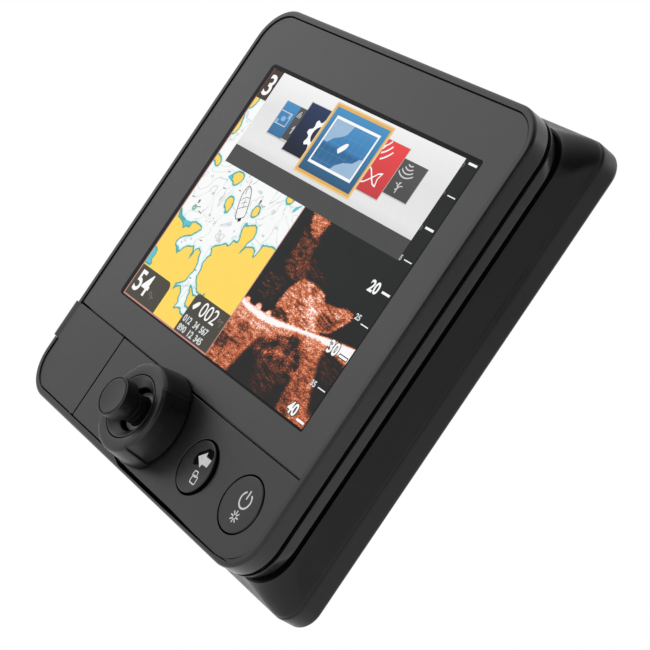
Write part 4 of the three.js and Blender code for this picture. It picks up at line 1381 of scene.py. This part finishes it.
def chart_colour(shader):
    """Pale water with depth lines, then shallows, shoals, the coast line and yellow land."""
    land, shoal = shader.attribute("land"), shader.attribute("shoal")
    ragged = shader.remap(shader.noise(scale=1400, detail=3, rough=0.6), to=(-0.12, 0.12))
    land = shader.calc("ADD", land, ragged)
    depth = shader.noise(scale=75, detail=3, rough=0.5, distort=0.6)
    line = shader.remap(shader.zigzag(depth, scale=16.0), span=(0.0, 0.20), to=(0.62, 0.0))
    colour = shader.mix(line, "#f8f9f9", "#a9b1b6")
    shallow = shader.remap(land, span=(0.6, 1.5), to=(1.0, 0.0), kind="SMOOTHSTEP")
    colour = shader.mix(shallow, colour, "#d6f5f7")
    for distance, span, paint in [(shoal, (-0.05, 0.12), "#5fc6d2"),
                                  (land, (0.40, 0.62), "#4fa69c"),
                                  (land, (-0.14, 0.06), "#ffd962")]:
        colour = shader.mix(shader.remap(distance, span=span, to=(1.0, 0.0)), colour, paint)
    return colour


lit("lit_chart", chart_colour, mottle=0.02)
for chart_name, chart_rect in [("chart", (-57.0, -0.4, -42.6, 9.7)),
                               ("chart_strip", (-57.0, -51.2, 9.7, 32.4))]:
    field_plate(chart_name, chart_rect, 0.35, {"land": land_field, "shoal": shoal_field},
                "lit_chart")


# ------------------------------------------------------------------ echo picture
def cloud(x, z, size_x, size_z, seed, octaves=3):
    """Layered noise, each octave finer and weaker."""
    out, weight, total = np.zeros(x.shape), 1.0, 0.0
    for k in range(octaves):
        out += weight * np.array([noise.noise(Vector((a / size_x, b / size_z, seed + k * 7.3)))
                                  for a, b in zip(x, z)])
        total += weight
        weight *= 0.6
        size_x, size_z = size_x / 2.1, size_z / 2.1
    return out / total


def over(base, value, mask):
    return base * (1 - mask) + value * mask


def lay(field, patches):
    """patches: (value, edge softness, strength, (x, z) to look up, outline)."""
    for value, softness, strength, (x, z), outline in patches:
        mask = np.clip(0.5 - signed_distance(outline, x, z) / softness, 0, 1)
        field = over(field, value, mask * strength)
    return field


def echo_field(x, z):
    """Echo strength, 0 to 1: a plume, the sunken shape under it and the layered bed."""
    flow = cloud(x, z, 3.2, 0.9, 1.0)
    slant = cloud(x + z * 1.2, z * 1.6 + x * 0.25, 4.2, 0.75, 9.0)
    fine = cloud(x, z, 0.9, 0.35, 4.0, 2)
    blot = cloud(x, z, 4.5, 2.4, 21.0, 2)
    drifted = (x + 2.0 * fine + 1.2 * (0.9 * blot + 0.7 * flow), z + 0.6 * flow)
    water = lay(np.zeros(x.shape), [
        # plume
        (0.64 + 0.4 * flow, 1.2, 1, drifted,
         [(4.2, 10.5), (15.2, 10.5), (14.6, 6.0), (14.0, 2.8), (11.5, 3.4), (7.5, 5.6)]),
        (0.31 + 0.45 * flow + 0.15 * fine, 1.6, 1, drifted,
         [(6.2, 5.0), (11.5, 2.6), (15.5, 4.6), (16.6, -1.5), (20.0, -5.0), (20.4, -9.0),
          (15.0, -10.6), (10.5, -9.6), (6.8, -7.6), (7.6, -1.0)]),
        (0.15 + 0.6 * flow + 0.3 * fine, 2.2, 0.9, drifted,
         [(3.2, -11.0), (9.5, -10.6), (14.0, -11.6), (13.2, -19.4), (4.4, -19.6), (2.6, -15.0)]),
        (0.20 + 0.9 * slant, 1.8, 0.75, drifted,
         [(18.5, -1.5), (22.0, -1.9), (26.0, -4.0), (31.0, -6.6), (24.0, -7.4), (19.0, -6.0)]),
        # the sunken shape
        (0.66 + 0.6 * flow + 0.45 * slant + 0.15 * fine, 0.9, 1, (x + 1.2 * fine, z + 0.5 * flow),
         [(15.2, -19.6), (15.4, -14.0), (17.4, -10.4), (20.0, -8.2), (24.0, -7.9), (29.0, -8.2),
          (32.4, -8.9), (34.4, -10.9), (40.0, -10.2), (44.5, -9.0), (48.4, -9.3), (48.8, -11.4),
          (46.4, -14.4), (43.6, -17.6), (38.0, -19.6), (26.0, -22.0), (16.0, -21.5)]),
        (0.90 + 0.5 * slant, 2.2, 0.8, (x + fine, z + 0.6 * flow),
         [(25.5, -11.2), (31.0, -13.0), (36.5, -16.0), (39.5, -19.5), (35.0, -19.4),
          (30.0, -16.4), (26.0, -13.6)]),
        (0.32 + 0.8 * slant, 1.8, 0.75, (x + 1.2 * fine, z + flow),
         [(35.5, -13.6), (46.0, -12.6), (42.6, -17.4), (37.6, -18.6), (34.8, -15.6)]),
        (0.22 + 0.9 * flow, 1.6, 0.75, (x + fine, z),
         [(15.0, -19.4), (20.0, -18.6), (24.0, -20.2), (24.0, -22.4), (14.0, -22.2)]),
    ])
    # (x, z) of the bed's surface and of the lower edge of its white band
    surface = [(-1, -21.9), (5, -22.8), (12, -22.7), (20, -22.2), (27, -21.4), (33, -20.5),
               (45, -18.4), (57.5, -16.9)]
    under = [(-1, -24.6), (5, -25.2), (12, -25.6), (18, -25.3), (27, -23.6), (33, -22.2),
             (40, -21.4), (47, -21.2), (57.5, -22.1)]
    top = np.interp(x, *zip(*surface)) + 0.12 * fine
    low = np.interp(x, *zip(*under)) + 0.5 * fine + 0.5 * blot
    bed_mask = np.clip((low - z) / 1.7 + 0.5, 0, 1)
    bed = lay(np.full(x.shape, 0.06), [
        (0.30 + 0.7 * blot + 0.5 * fine, 3.0, 1, drifted,
         [(14, -24), (40, -21), (42.4, -27.0), (41.6, -33.4), (39.5, -35.6), (30.0, -34.6),
          (19.0, -33.2), (15.6, -31.4)]),
        (0.30 + 1.0 * slant, 3.4, 0.55, drifted,
         [(20, -33), (38, -35.5), (34, -43.5), (28, -43.5), (24, -38.0)]),
        (0.58 + 0.5 * flow + 0.25 * fine, 1.6, 1, (x + 1.6 * fine, z),
         [(-2, -23), (30, -23.5), (21.5, -26.6), (17.4, -28.6), (16.2, -32.0), (14.6, -36.5),
          (12.6, -43.5), (-2, -43.5)]),
        (0.28 + 0.5 * flow, 2.2, 0.8, drifted,
         [(5, -28.6), (9.5, -27.8), (12.6, -29.0), (10.0, -30.6), (6.0, -30.8)]),
        (0.22 + 0.6 * flow, 2.4, 0.85, drifted,
         [(-1, -33.4), (9.5, -34.4), (6.0, -36.0), (4.5, -38.4), (-1, -39.0)]),
        (0.55 + 0.5 * flow + 0.3 * fine, 1.6, 1, (x + 1.2 * fine, z),
         [(30, -21.5), (46, -20.8), (46.4, -24.5), (49.0, -29.0), (52.4, -34.2), (54.6, -38.0),
          (58.5, -38.6), (58.5, -43.5), (42.6, -43.5), (41.0, -36.0), (40.6, -30.0),
          (38.4, -25.6)]),
        (0.30 + 0.5 * flow, 2.4, 0.7, drifted,
         [(42.5, -35), (45.5, -31.5), (46.4, -34.5), (45.0, -38.0), (48.5, -42.8),
          (42.6, -43.5)]),
        (0.16 + 0.9 * slant + 0.3 * flow, 1.6, 0.8, drifted,
         [(45.6, -22.6), (58, -22.4), (58, -29.6), (52, -29.0), (48.6, -26.6)]),
    ])
    depth = np.clip((low - z) / 5.0, 0, 1)
    bed = bed + (1 - depth) * np.where((x < 30) | ((x > 36) & (x < 47)), 0.28, 0.0)
    level = over(water, np.clip(bed, 0, 0.86), bed_mask)
    level = over(level, 1.0, np.clip((top - z) / 0.7 + 0.5, 0, 1) * (1 - bed_mask))
    # bright lumps on the bed: (x, z, radius)
    for lump_x, lump_z, radius in [(2.0, -22.4, 1.4), (8.6, -22.4, 1.6), (14.6, -22.4, 1.4)]:
        distance = np.hypot((x - lump_x) * 0.8, z - lump_z)
        level = over(level, 0.90, np.clip((radius - distance) / 0.6, 0, 1) * (z > -23.5))
    return np.clip(level, 0, 1)


def echo_colour(shader):
    """Dark through orange to white, grained most at middle strengths."""
    echo = shader.attribute("echo")
    grain = shader.noise(scale=2300, detail=3, rough=0.65, stretch=(0.6, 1.0, 1.4))
    grain = shader.remap(grain, to=(-1.0, 1.0))
    rising = shader.remap(echo, span=(0.02, 0.32), to=(0.0, 0.26))
    falling = shader.remap(echo, span=(0.85, 1.0), to=(1.0, 0.12))
    grain = shader.calc("MULTIPLY", grain, shader.calc("MULTIPLY", rising, falling))
    return shader.ramp(shader.calc("ADD", echo, grain, clamp=True), [
        (0.0, "#232425"), (0.12, "#272423"), (0.30, "#4c2f27"), (0.45, "#864630"),
        (0.60, "#c2643e"), (0.76, "#e58a62"), (0.88, "#f8c0a8"), (0.97, "#fffafa"),
    ])


lit("lit_echo", echo_colour, mottle=0.05)
lit("lit_black", "#242526", mottle=0.06)
field_plate("echo", (0.0, 57.4, -43.0, 9.7), 0.3, {"echo": echo_field}, "lit_echo")


# ------------------------------------------------------------------ grounds and boxes
def local_span(shader, socket, origin, start, end):
    """Runs 0 to 1 between two local millimetre places along an axis."""
    return shader.remap(socket, span=(origin + start * MM, origin + end * MM))


def menu_colour(shader):
    axes = shader.xyz()
    height = local_span(shader, axes[2], ORIGIN.z, 16.2, 43.2)
    across = local_span(shader, axes[0], ORIGIN.x, -51.2, 50.8)
    colour = shader.ramp(height, [(0.0, "#dcdddd"), (0.12, "#e9e9e9"), (0.55, "#e3e3e3"),
                                  (1.0, "#f4f4f4")])
    right = shader.remap(across, span=(0.5, 1.0), to=(0.0, 0.35))
    return shader.mix(right, colour, "#e0e0e0")


ink("mask_ink", "#0a0b0c", rough=0.35, specular=0.08)
art("mask", [[rounded((-59.7, 57.95, -43.75, 44.6), [1.0, 1.8, 1.6, 0.6], 6)]], 0, "mask_ink")
art("scale_ground", [bar(50.8, 57.4, 9.7, 43.2)], 1, "lit_black")
art("under_menu", [bar(-51.2, 50.8, 9.7, 16.2)], 1, lit("lit_dark_strip", "#4b4b4c", mottle=0.03))
art("menu_ground", [bar(-51.2, 50.8, 16.2, 43.2)], 1, lit("lit_menu", menu_colour, mottle=0.015))
art("pane_edge", [
    [[(0.05, -43.1), (0.05, -42.6), (-57.5, -42.6), (-57.5, -43.1)]],
    bar(-57.5, -57.0, -42.6, 43.2), bar(-0.4, 0.0, -42.6, 9.7),
], 1, lit("lit_pane_edge", "#c98f86", mottle=0.08))
art("data_boxes", [
    [rounded((-57.0, -36.3, -42.6, -31.7), [2.4, 0.05, 0.05, 0.05], 6)],
    [rounded((-21.8, -0.4, -42.6, -29.2), [0.05, 2.0, 0.05, 0.05], 6)],
], 2, lit("lit_data_box", "#4c4940", mottle=0.05))
art("corner_box", [bar(-57.4, -51.7, 32.4, 43.1)], 2, lit("lit_corner_box", "#4a3a33", mottle=0.1))

# ------------------------------------------------------------------ digits and scale
lit("lit_white", "#fbfbfb", mottle=0.03)
lit("lit_soft_white", "#d8dcdf", mottle=0.05)
lit("lit_grey", "#77756c", mottle=0.05)
# rows: (text, left, right, low, high)
glyphs("digits_large", [("54", -55.3, -46.2, -40.5, -33.0), ("3", -56.2, -52.2, 33.8, 41.4)],
       3, "lit_white", bold=0.018)
glyphs("digits_heading", [("002", -15.4, -5.4, -35.0, -30.1)], 3, "lit_white", bold=0.0)
SCALE_DIGITS = [("20", 46.6, 51.3, -1.8, 2.0), ("30", 46.6, 51.5, -22.0, -18.0),
                ("40", 46.6, 51.3, -41.8, -38.0)]
glyphs("digits_shade", [(text, *inset(rect, -0.3)) for text, *rect in SCALE_DIGITS], 2,
       "lit_black", bold=0.085)
glyphs("digits_scale", SCALE_DIGITS, 3, "lit_white", bold=0.03)
glyphs("digits_small", [
    ("25", 49.1, 51.6, -10.2, -8.3), ("35", 49.1, 51.6, -32.0, -30.1), ("15", 50.95, 51.7, 9.9, 11.7),
], 3, "lit_soft_white", bold=0.03)
TEXT_COLUMNS = [(-20.7, -16.0), (-14.0, -11.2), (-9.8, -5.4)]
glyphs("digits_lines", [
    (text, left, right, low, high)
    for texts, low, high in [(("012", "34", "567"), -38.9, -36.5),
                             (("890", "12", "345"), -42.0, -39.7)]
    for text, (left, right) in zip(texts, TEXT_COLUMNS)
], 3, "lit_soft_white", bold=0.03)
art("unit_marks", [
    ring_arc(-43.9, -38.2, 0.55, 0.28, 0, 350, 20), bar(-42.9, -41.3, -39.2, -38.9),
    bar(-42.9, -42.6, -40.1, -38.1), ring_arc(-4.0, -32.4, 0.5, 0.28, 0, 350, 20),
    bar(-3.2, -1.6, -32.4, -32.1), bar(-2.55, -2.25, -34.2, -32.1),
], 3, "lit_grey")
art("scale_ticks", [bar(52.9, 56.8, z - 0.36, z + 0.36) for z in (42.3, 21.2, 0.0, -20.8, -41.6)]
    + [bar(53.0, 56.7, z - 0.16, z + 0.16) for z in (31.8, 10.7, -10.4, -31.2)], 3, "lit_white")
art("tick_shade", [bar(52.6, 57.1, -21.46, -20.14)], 2, "lit_black")
art("scale_slivers", [ring_arc(50.8, z, radius, width, -70, 70, 12) for z, radius, width in
                      [(41.3, 0.8, 0.22), (32.0, 0.6, 0.18), (20.6, 0.8, 0.22)]], 3, "lit_grey")

# ------------------------------------------------------------------ own craft and chart marks
lit("lit_chart_line", "#6f7174", mottle=0.08)
lit("lit_chart_mark", "#8a8488", mottle=0.1)
lit("lit_chart_black", "#1c1c1c", mottle=0.05)

# plan of a small craft of unit length and width, bow along the first axis
CRAFT_PLAN = [
    (0.5, 0.0), (0.44, 0.2), (0.34, 0.36), (0.15, 0.47), (-0.1, 0.5), (-0.4, 0.47), (-0.5, 0.36),
    (-0.5, -0.36), (-0.4, -0.47), (-0.1, -0.5), (0.15, -0.47), (0.34, -0.36), (0.44, -0.2),
]


def turned(centre, angle, points):
    cos, sin = math.cos(angle), math.sin(angle)
    return [(centre[0] + a * cos - b * sin, centre[1] + a * sin + b * cos) for a, b in points]


def craft(centre, degrees, length, width):
    points = [(u * length, v * width) for u, v in CRAFT_PLAN]
    points = turned(centre, math.radians(degrees), points)
    return closed_fillet([(x, z, 0.45) for x, z in points], 3)


CRAFT_AT, CRAFT_DEGREES = (-28.6, 1.6), 120
craft_outline = craft(CRAFT_AT, CRAFT_DEGREES, 11.6, 4.9)
CRAFT_LINES = [  # (width, points along and across the craft)
    (0.24, [(0.9, -2.0), (1.5, -0.9), (1.5, 0.9), (0.9, 2.0)]),
    (0.24, [(-1.9, -2.1), (-1.9, 2.1)]),
    (0.2, [(-0.2, -1.3), (-0.2, 1.3)]),
    (0.2, [(0.9, -0.1), (-1.9, -0.1)]),
    (0.3, [(5.2, -0.2), (4.1, 0.5), (3.0, 0.6)]),
]


def on_craft(points):
    return turned(CRAFT_AT, math.radians(CRAFT_DEGREES), points)


art("craft_fill", [[craft_outline]], 2, lit("lit_craft_fill", "#f6f6f6", mottle=0.03))
art("craft_line", [ribbon(craft_outline, 0.34, True)]
    + [ribbon(on_craft(points), width) for width, points in CRAFT_LINES], 3, "lit_chart_line")
art("craft_motor", [[on_craft([(-5.7, -0.75), (-5.7, 0.75), (-6.9, 0.75), (-6.9, -0.75)])]],
    3, "lit_chart_black")

DASHES = [  # (x, z, degrees, length)
    (-42.4, 2.1, 10, 1.6), (-55, -5.2, 5, 1.5), (-37, -15.6, 5, 1.6), (-30.0, -24.1, 5, 1.4),
    (-30.0, -27.0, 5, 1.4), (-34.3, 3.9, 5, 1.4), (-45.4, 7.3, 20, 1.6), (-19.4, 3.4, -35, 1.0),
    (-18.2, 3.4, 30, 1.2), (-48.8, -7.1, 15, 2.2), (-46.6, -8.4, -10, 2.4),
    (-33.6, -1.0, -40, 1.3), (-18.6, 0.9, -30, 1.2),
]
dashes = []
for x, z, degrees, length in DASHES:
    half_x = length / 2 * math.cos(math.radians(degrees))
    half_z = length / 2 * math.sin(math.radians(degrees))
    dashes.append(ribbon([(x - half_x, z - half_z), (x + half_x, z + half_z)], 0.32))
art("chart_marks", dashes, 2, "lit_chart_mark")
art("chart_buoys", [
    bar(-50.8, -50.0, -6.2, -5.2), bar(-21.6, -20.8, 3.2, 4.6),
    [circle((-50.4, -5.4), 0.55, 14)], [circle((-21.2, 4.3), 0.55, 14)],
], 2, lit("lit_chart_buoy", "#8d6f78", mottle=0.08))
glyphs("soundings", [
    ("12", -52.9, -51.6, 2.9, 3.8), ("18", -47.0, -45.7, -1.6, -0.7),
    ("24", -41.6, -40.3, -7.9, -7.0), ("21", -36.6, -35.3, -9.2, -8.3),
    ("16", -31.4, -30.1, -10.4, -9.5), ("9", -24.6, -24.0, -8.2, -7.3),
    ("27", -13.4, -12.1, 3.2, 4.1), ("31", -7.2, -5.9, -0.6, 0.3),
    ("14", -10.6, -9.3, -4.6, -3.7), ("8", -42.4, -41.8, -17.3, -16.4),
    ("11", -25.4, -24.1, -29.1, -28.2), ("22", -24.4, -23.1, 6.2, 7.1),
    ("6", -45.9, -45.3, -19.7, -18.8),
], 2, "lit_chart_mark", bold=0.0)
art("heading_mark", [[craft((-18.5, -32.6), 48, 3.5, 1.7)]], 3, "lit_white")


# ------------------------------------------------------------------ menu tiles
def shaded(name, top, bottom):
    """A lit material running from bottom to top colour over a tile's height."""
    def colour(shader):
        height = local_span(shader, shader.xyz()[2], ORIGIN.z, 19, 41)
        return shader.ramp(height, [(0.0, bottom), (1.0, top)])
    return lit(name, colour)


def clipped_left(loop, limit):
    """The part of a loop left of x = limit."""
    out = []
    for (x, z), (next_x, next_z) in pairs(loop):
        if x <= limit:
            out.append((x, z))
        if (x <= limit) != (next_x <= limit):
            out.append((limit, z + (limit - x) / (next_x - x) * (next_z - z)))
    return out


def tile_gear():
    """The left half of a gear, the rest lying behind the chosen tile."""
    centre, root, tip, steps = (-15.8, 30.2), 4.3, 5.7, 32
    points = []
    for k in range(steps):
        a = 2 * math.pi * (k + 0.5) / steps + math.pi / 8
        r = tip if k % 4 in (1, 2) else root
        points.append((centre[0] + r * math.cos(a), centre[1] + r * math.sin(a), 0.35))
    gear = flat([[clipped_left(closed_fillet(points, 3), -15.7)]], level_y(5), 0.008)
    hole = circle(centre, 2.9, 40)
    boolean(gear, [loft([(-1, hole), (1, hole)])])
    picture(gear, "tile_gear", "lit_white")


art("tile_shades", [bar(-40.6, -28.0, 23.5, 35.9), bar(-28.4, -15.8, 21.1, 38.9),
                    bar(15.0, 27.6, 21.1, 38.9), bar(27.4, 39.9, 23.9, 35.8)],
    2, lit("lit_tile_edge", "#c9c9c9", mottle=0.03))
art("tile_small_blue", [bar(-40.3, -31.8, 24.0, 35.8)], 3,
    shaded("lit_small_blue", "#4f9bd6", "#315f86"))
art("tile_small_grey", [bar(-31.8, -28.0, 24.4, 35.8), bar(27.5, 39.6, 24.3, 35.8)], 3,
    shaded("lit_small_grey", "#5a5a5a", "#484848"))
art("tile_navy", [bar(-28.0, -15.6, 21.5, 38.7)], 4, shaded("lit_navy", "#2b3d62", "#17171b"))
art("tile_red", [bar(14.8, 27.3, 21.5, 38.8)], 4, shaded("lit_red", "#f04a4b", "#bf3d42"))
art("small_frame", [ribbon([(-40.1, 32.4), (-33.6, 32.4), (-33.6, 27.9), (-40.1, 27.9)], 0.28)],
    4, "lit_soft_white")
art("small_view", [[rounded((-37.9, -35.5, 29.2, 30.9), 0.8, 4)], bar(-40.0, -38.6, 28.1, 29.4),
                   bar(-34.9, -33.7, 30.6, 32.2)], 4, lit("lit_small_view", "#8fb4d8"))
small_marks = [ring_arc(-28.4, 32.2, radius, 0.34, 120, 178, 10) for radius in (1.2, 1.9, 2.6)]
small_marks += [ribbon([(-29.0, 26.8), (-28.7, 29.2)], 0.5),
                ribbon([(-29.6, 28.4), (-28.6, 29.6)], 0.35)]
small_marks += [ring_arc(31.9, 36.6 - 0.1 * k, 2.2 + 1.15 * k, 0.42, 236 - 2 * k, 304 + 2 * k, 18)
                for k in range(4)]
small_marks += [ribbon(points, width) for width, points in [
    (0.42, [(32.3, 25.6), (32.2, 27.3), (31.9, 29.1)]),
    (0.32, [(32.2, 27.0), (33.0, 28.0), (34.0, 28.2)]),
    (0.32, [(32.2, 27.3), (31.2, 28.3), (30.3, 28.5)]),
    (0.28, [(32.0, 28.4), (32.6, 29.2)]),
    (0.28, [(31.4, 26.5), (32.3, 27.1)]),
]]
art("tile_marks_small", small_marks, 4, lit("lit_mark_grey", "#cfcfcf"))
tile_gear()
fish = [ribbon(fillet(points), 0.46) for points in [
    [(15.0, 29.4), (17.0, 28.6, 2), (19.4, 26.4, 2), (21.2, 24.9, 1), (22.9, 24.5)],
    [(15.0, 23.8), (17.0, 24.4, 2), (19.4, 26.5, 2), (21.2, 28.3, 1), (22.9, 28.9)],
    [(22.9, 29.0), (22.0, 26.8, 1.5), (22.9, 24.4)],
]]
waves = [ring_arc(13.2, 41.2, radius, 0.55, -68 + 2 * k, -28 - 3 * k, 18)
         for k, radius in enumerate((5.6, 7.7, 9.8))]
waves.append(ring_arc(14.6, 37.0, 2.0, 0.4, -60, -10, 8))
art("tile_fish", fish + waves, 5, "lit_white")


# ------------------------------------------------------------------ chosen tile
def sea_colour(shader):
    """Blue, paler at the top, with a faint square grid."""
    axes = shader.xyz()
    grid = [shader.remap(shader.zigzag(axis, scale=1 / (1.6 * MM)), span=(0.0, 0.10), to=(1.0, 0.0))
            for axis in (axes[0], axes[2])]
    lines = shader.calc("MULTIPLY", shader.calc("MAXIMUM", *grid), 0.22)
    height = local_span(shader, axes[2], ORIGIN.z, 22, 38)
    colour = shader.ramp(height, [(0.0, "#35709e"), (0.42, "#2d6696"), (0.5, "#3c80b6"),
                                  (1.0, "#4a90c6")])
    return shader.mix(lines, colour, "#8fbbe0")


art("chosen_glow", [[rounded((-16.5, 15.8, 17.5, 42.4), 0.5, 4)]], 6,
    lit("lit_glow_pale", "#e9cf9e"))
art("chosen_edge", [[rounded((-15.9, 15.2, 18.1, 41.9), 0.3, 4)]], 7,
    lit("lit_glow", "#e8b25c", mottle=0.05))
art("chosen_blue", [bar(-15.0, 14.5, 19.0, 41.0)], 8,
    shaded("lit_chosen_blue", "#4a93c8", "#2d5a7c"))
art("chosen_frame", [bar(-12.6, 11.9, 22.0, 38.5)], 9, "lit_white")
art("chosen_sea", [bar(-11.8, 11.1, 22.9, 37.6)], 10, lit("lit_sea", sea_colour))
art("chosen_land", [
    [closed_fillet([(-11.8, 37.6), (-11.8, 30.0), (-9.6, 29.8, 0.6), (-7.6, 31.8, 0.8),
                    (-4.6, 33.0, 0.8), (-2.6, 34.4, 0.8), (-1.6, 37.6)])],
    [closed_fillet([(11.1, 22.9), (11.1, 29.6), (9.6, 29.4, 0.5), (7.4, 27.3, 0.8),
                    (3.6, 26.4, 0.8), (0.6, 24.6, 0.8), (-0.6, 22.9)])],
], 11, lit("lit_tile_land", "#9dbbd8", mottle=0.05))
art("chosen_craft", [[craft((-0.7, 30.3), 48, 4.6, 2.1)]], 12, "lit_white")

# the picture neither lights nor shows in the pieces round it
for piece in scene.objects:
    if piece.name.startswith("picture_"):
        piece.visible_diffuse = False
        piece.visible_glossy = False


# ------------------------------------------------------------------ stage, light and camera
def stage_floor():
    """A glowing white floor, clear from below."""
    half = 30.0
    z = CAD_LO.z - 0.0006
    mesh = bpy.data.meshes.new("floor")
    mesh.from_pydata([(-half, -half, z), (half, -half, z), (half, half, z), (-half, half, z)],
                     [], [(0, 1, 2, 3)])
    floor = bpy.data.objects.new("floor", mesh)
    scene.collection.objects.link(floor)
    material = bpy.data.materials.new("pale_floor")
    nodes = Nodes(material)
    glow = nodes.node("ShaderNodeEmission", {"Color": (1, 1, 1, 1), "Strength": 1.0})
    side = nodes.node("ShaderNodeMixShader", {
        0: nodes.node("ShaderNodeNewGeometry").outputs["Backfacing"],
        1: glow.outputs[0],
        2: nodes.node("ShaderNodeBsdfTransparent").outputs[0],
    })
    nodes.node("ShaderNodeOutputMaterial", {"Surface": side.outputs[0]})
    mesh.materials.append(material)


TO_CAMERA = (0.7952, -0.6064, -0.0040)


def studio_world():
    """White surroundings everywhere but behind the camera, where the room is dim."""
    world = bpy.data.worlds.new("studio")
    scene.world = world
    nodes = Nodes(world)
    facing = nodes.dot(nodes.node("ShaderNodeTexCoord").outputs["Generated"], TO_CAMERA)
    room = nodes.remap(facing, span=(-0.25, 0.85), to=(0.92, 0.06), kind="SMOOTHSTEP")
    seen = nodes.node("ShaderNodeLightPath").outputs["Is Camera Ray"]
    strength = nodes.node("ShaderNodeMix", {0: seen, 2: room, 3: 1.0}, data_type="FLOAT")
    background = nodes.node("ShaderNodeBackground", {
        "Color": (1, 1, 1, 1), "Strength": strength.outputs[0],
    })
    nodes.node("ShaderNodeOutputWorld", {"Surface": background.outputs[0]})


def area_light(name, at, size, power):
    """A square light facing the frame's origin."""
    light = bpy.data.lights.new(name, "AREA")
    light.shape = "RECTANGLE"
    light.size = light.size_y = size
    light.energy = power
    lamp = bpy.data.objects.new(name, light)
    scene.collection.objects.link(lamp)
    lamp.location = at
    lamp.rotation_mode = "QUATERNION"
    lamp.rotation_quaternion = (-Vector(at)).to_track_quat("-Z", "Y")


def add_camera():
    lens = bpy.data.cameras.new("camera")
    lens.sensor_width = 36.0
    lens.lens = 103.446
    lens.clip_start, lens.clip_end = 0.01, 200.0
    camera = bpy.data.objects.new("camera", lens)
    scene.collection.objects.link(camera)
    # columns: the camera's right, up and backward directions, and its place
    columns = ((0.5044, 0.6578, 0.5593), (-0.3366, -0.4467, 0.8289), TO_CAMERA,
               ORIGIN + Vector((452.2, -314.4, -18.1)) * MM)
    camera.matrix_world = Matrix((*zip(*columns), (0, 0, 0, 1)))
    scene.camera = camera


stage_floor()
studio_world()
area_light("key_front_left", at=(-0.98, -0.75, 0.36), size=1.0, power=1.5)
area_light("fill_right", at=(0.9, -0.2, 0.3), size=0.6, power=0.6)
area_light("back_soft", at=(0.2, 0.9, 0.6), size=0.8, power=1.5)
add_camera()
scene.view_settings.view_transform = "Standard"
scene.view_settings.look = "None"
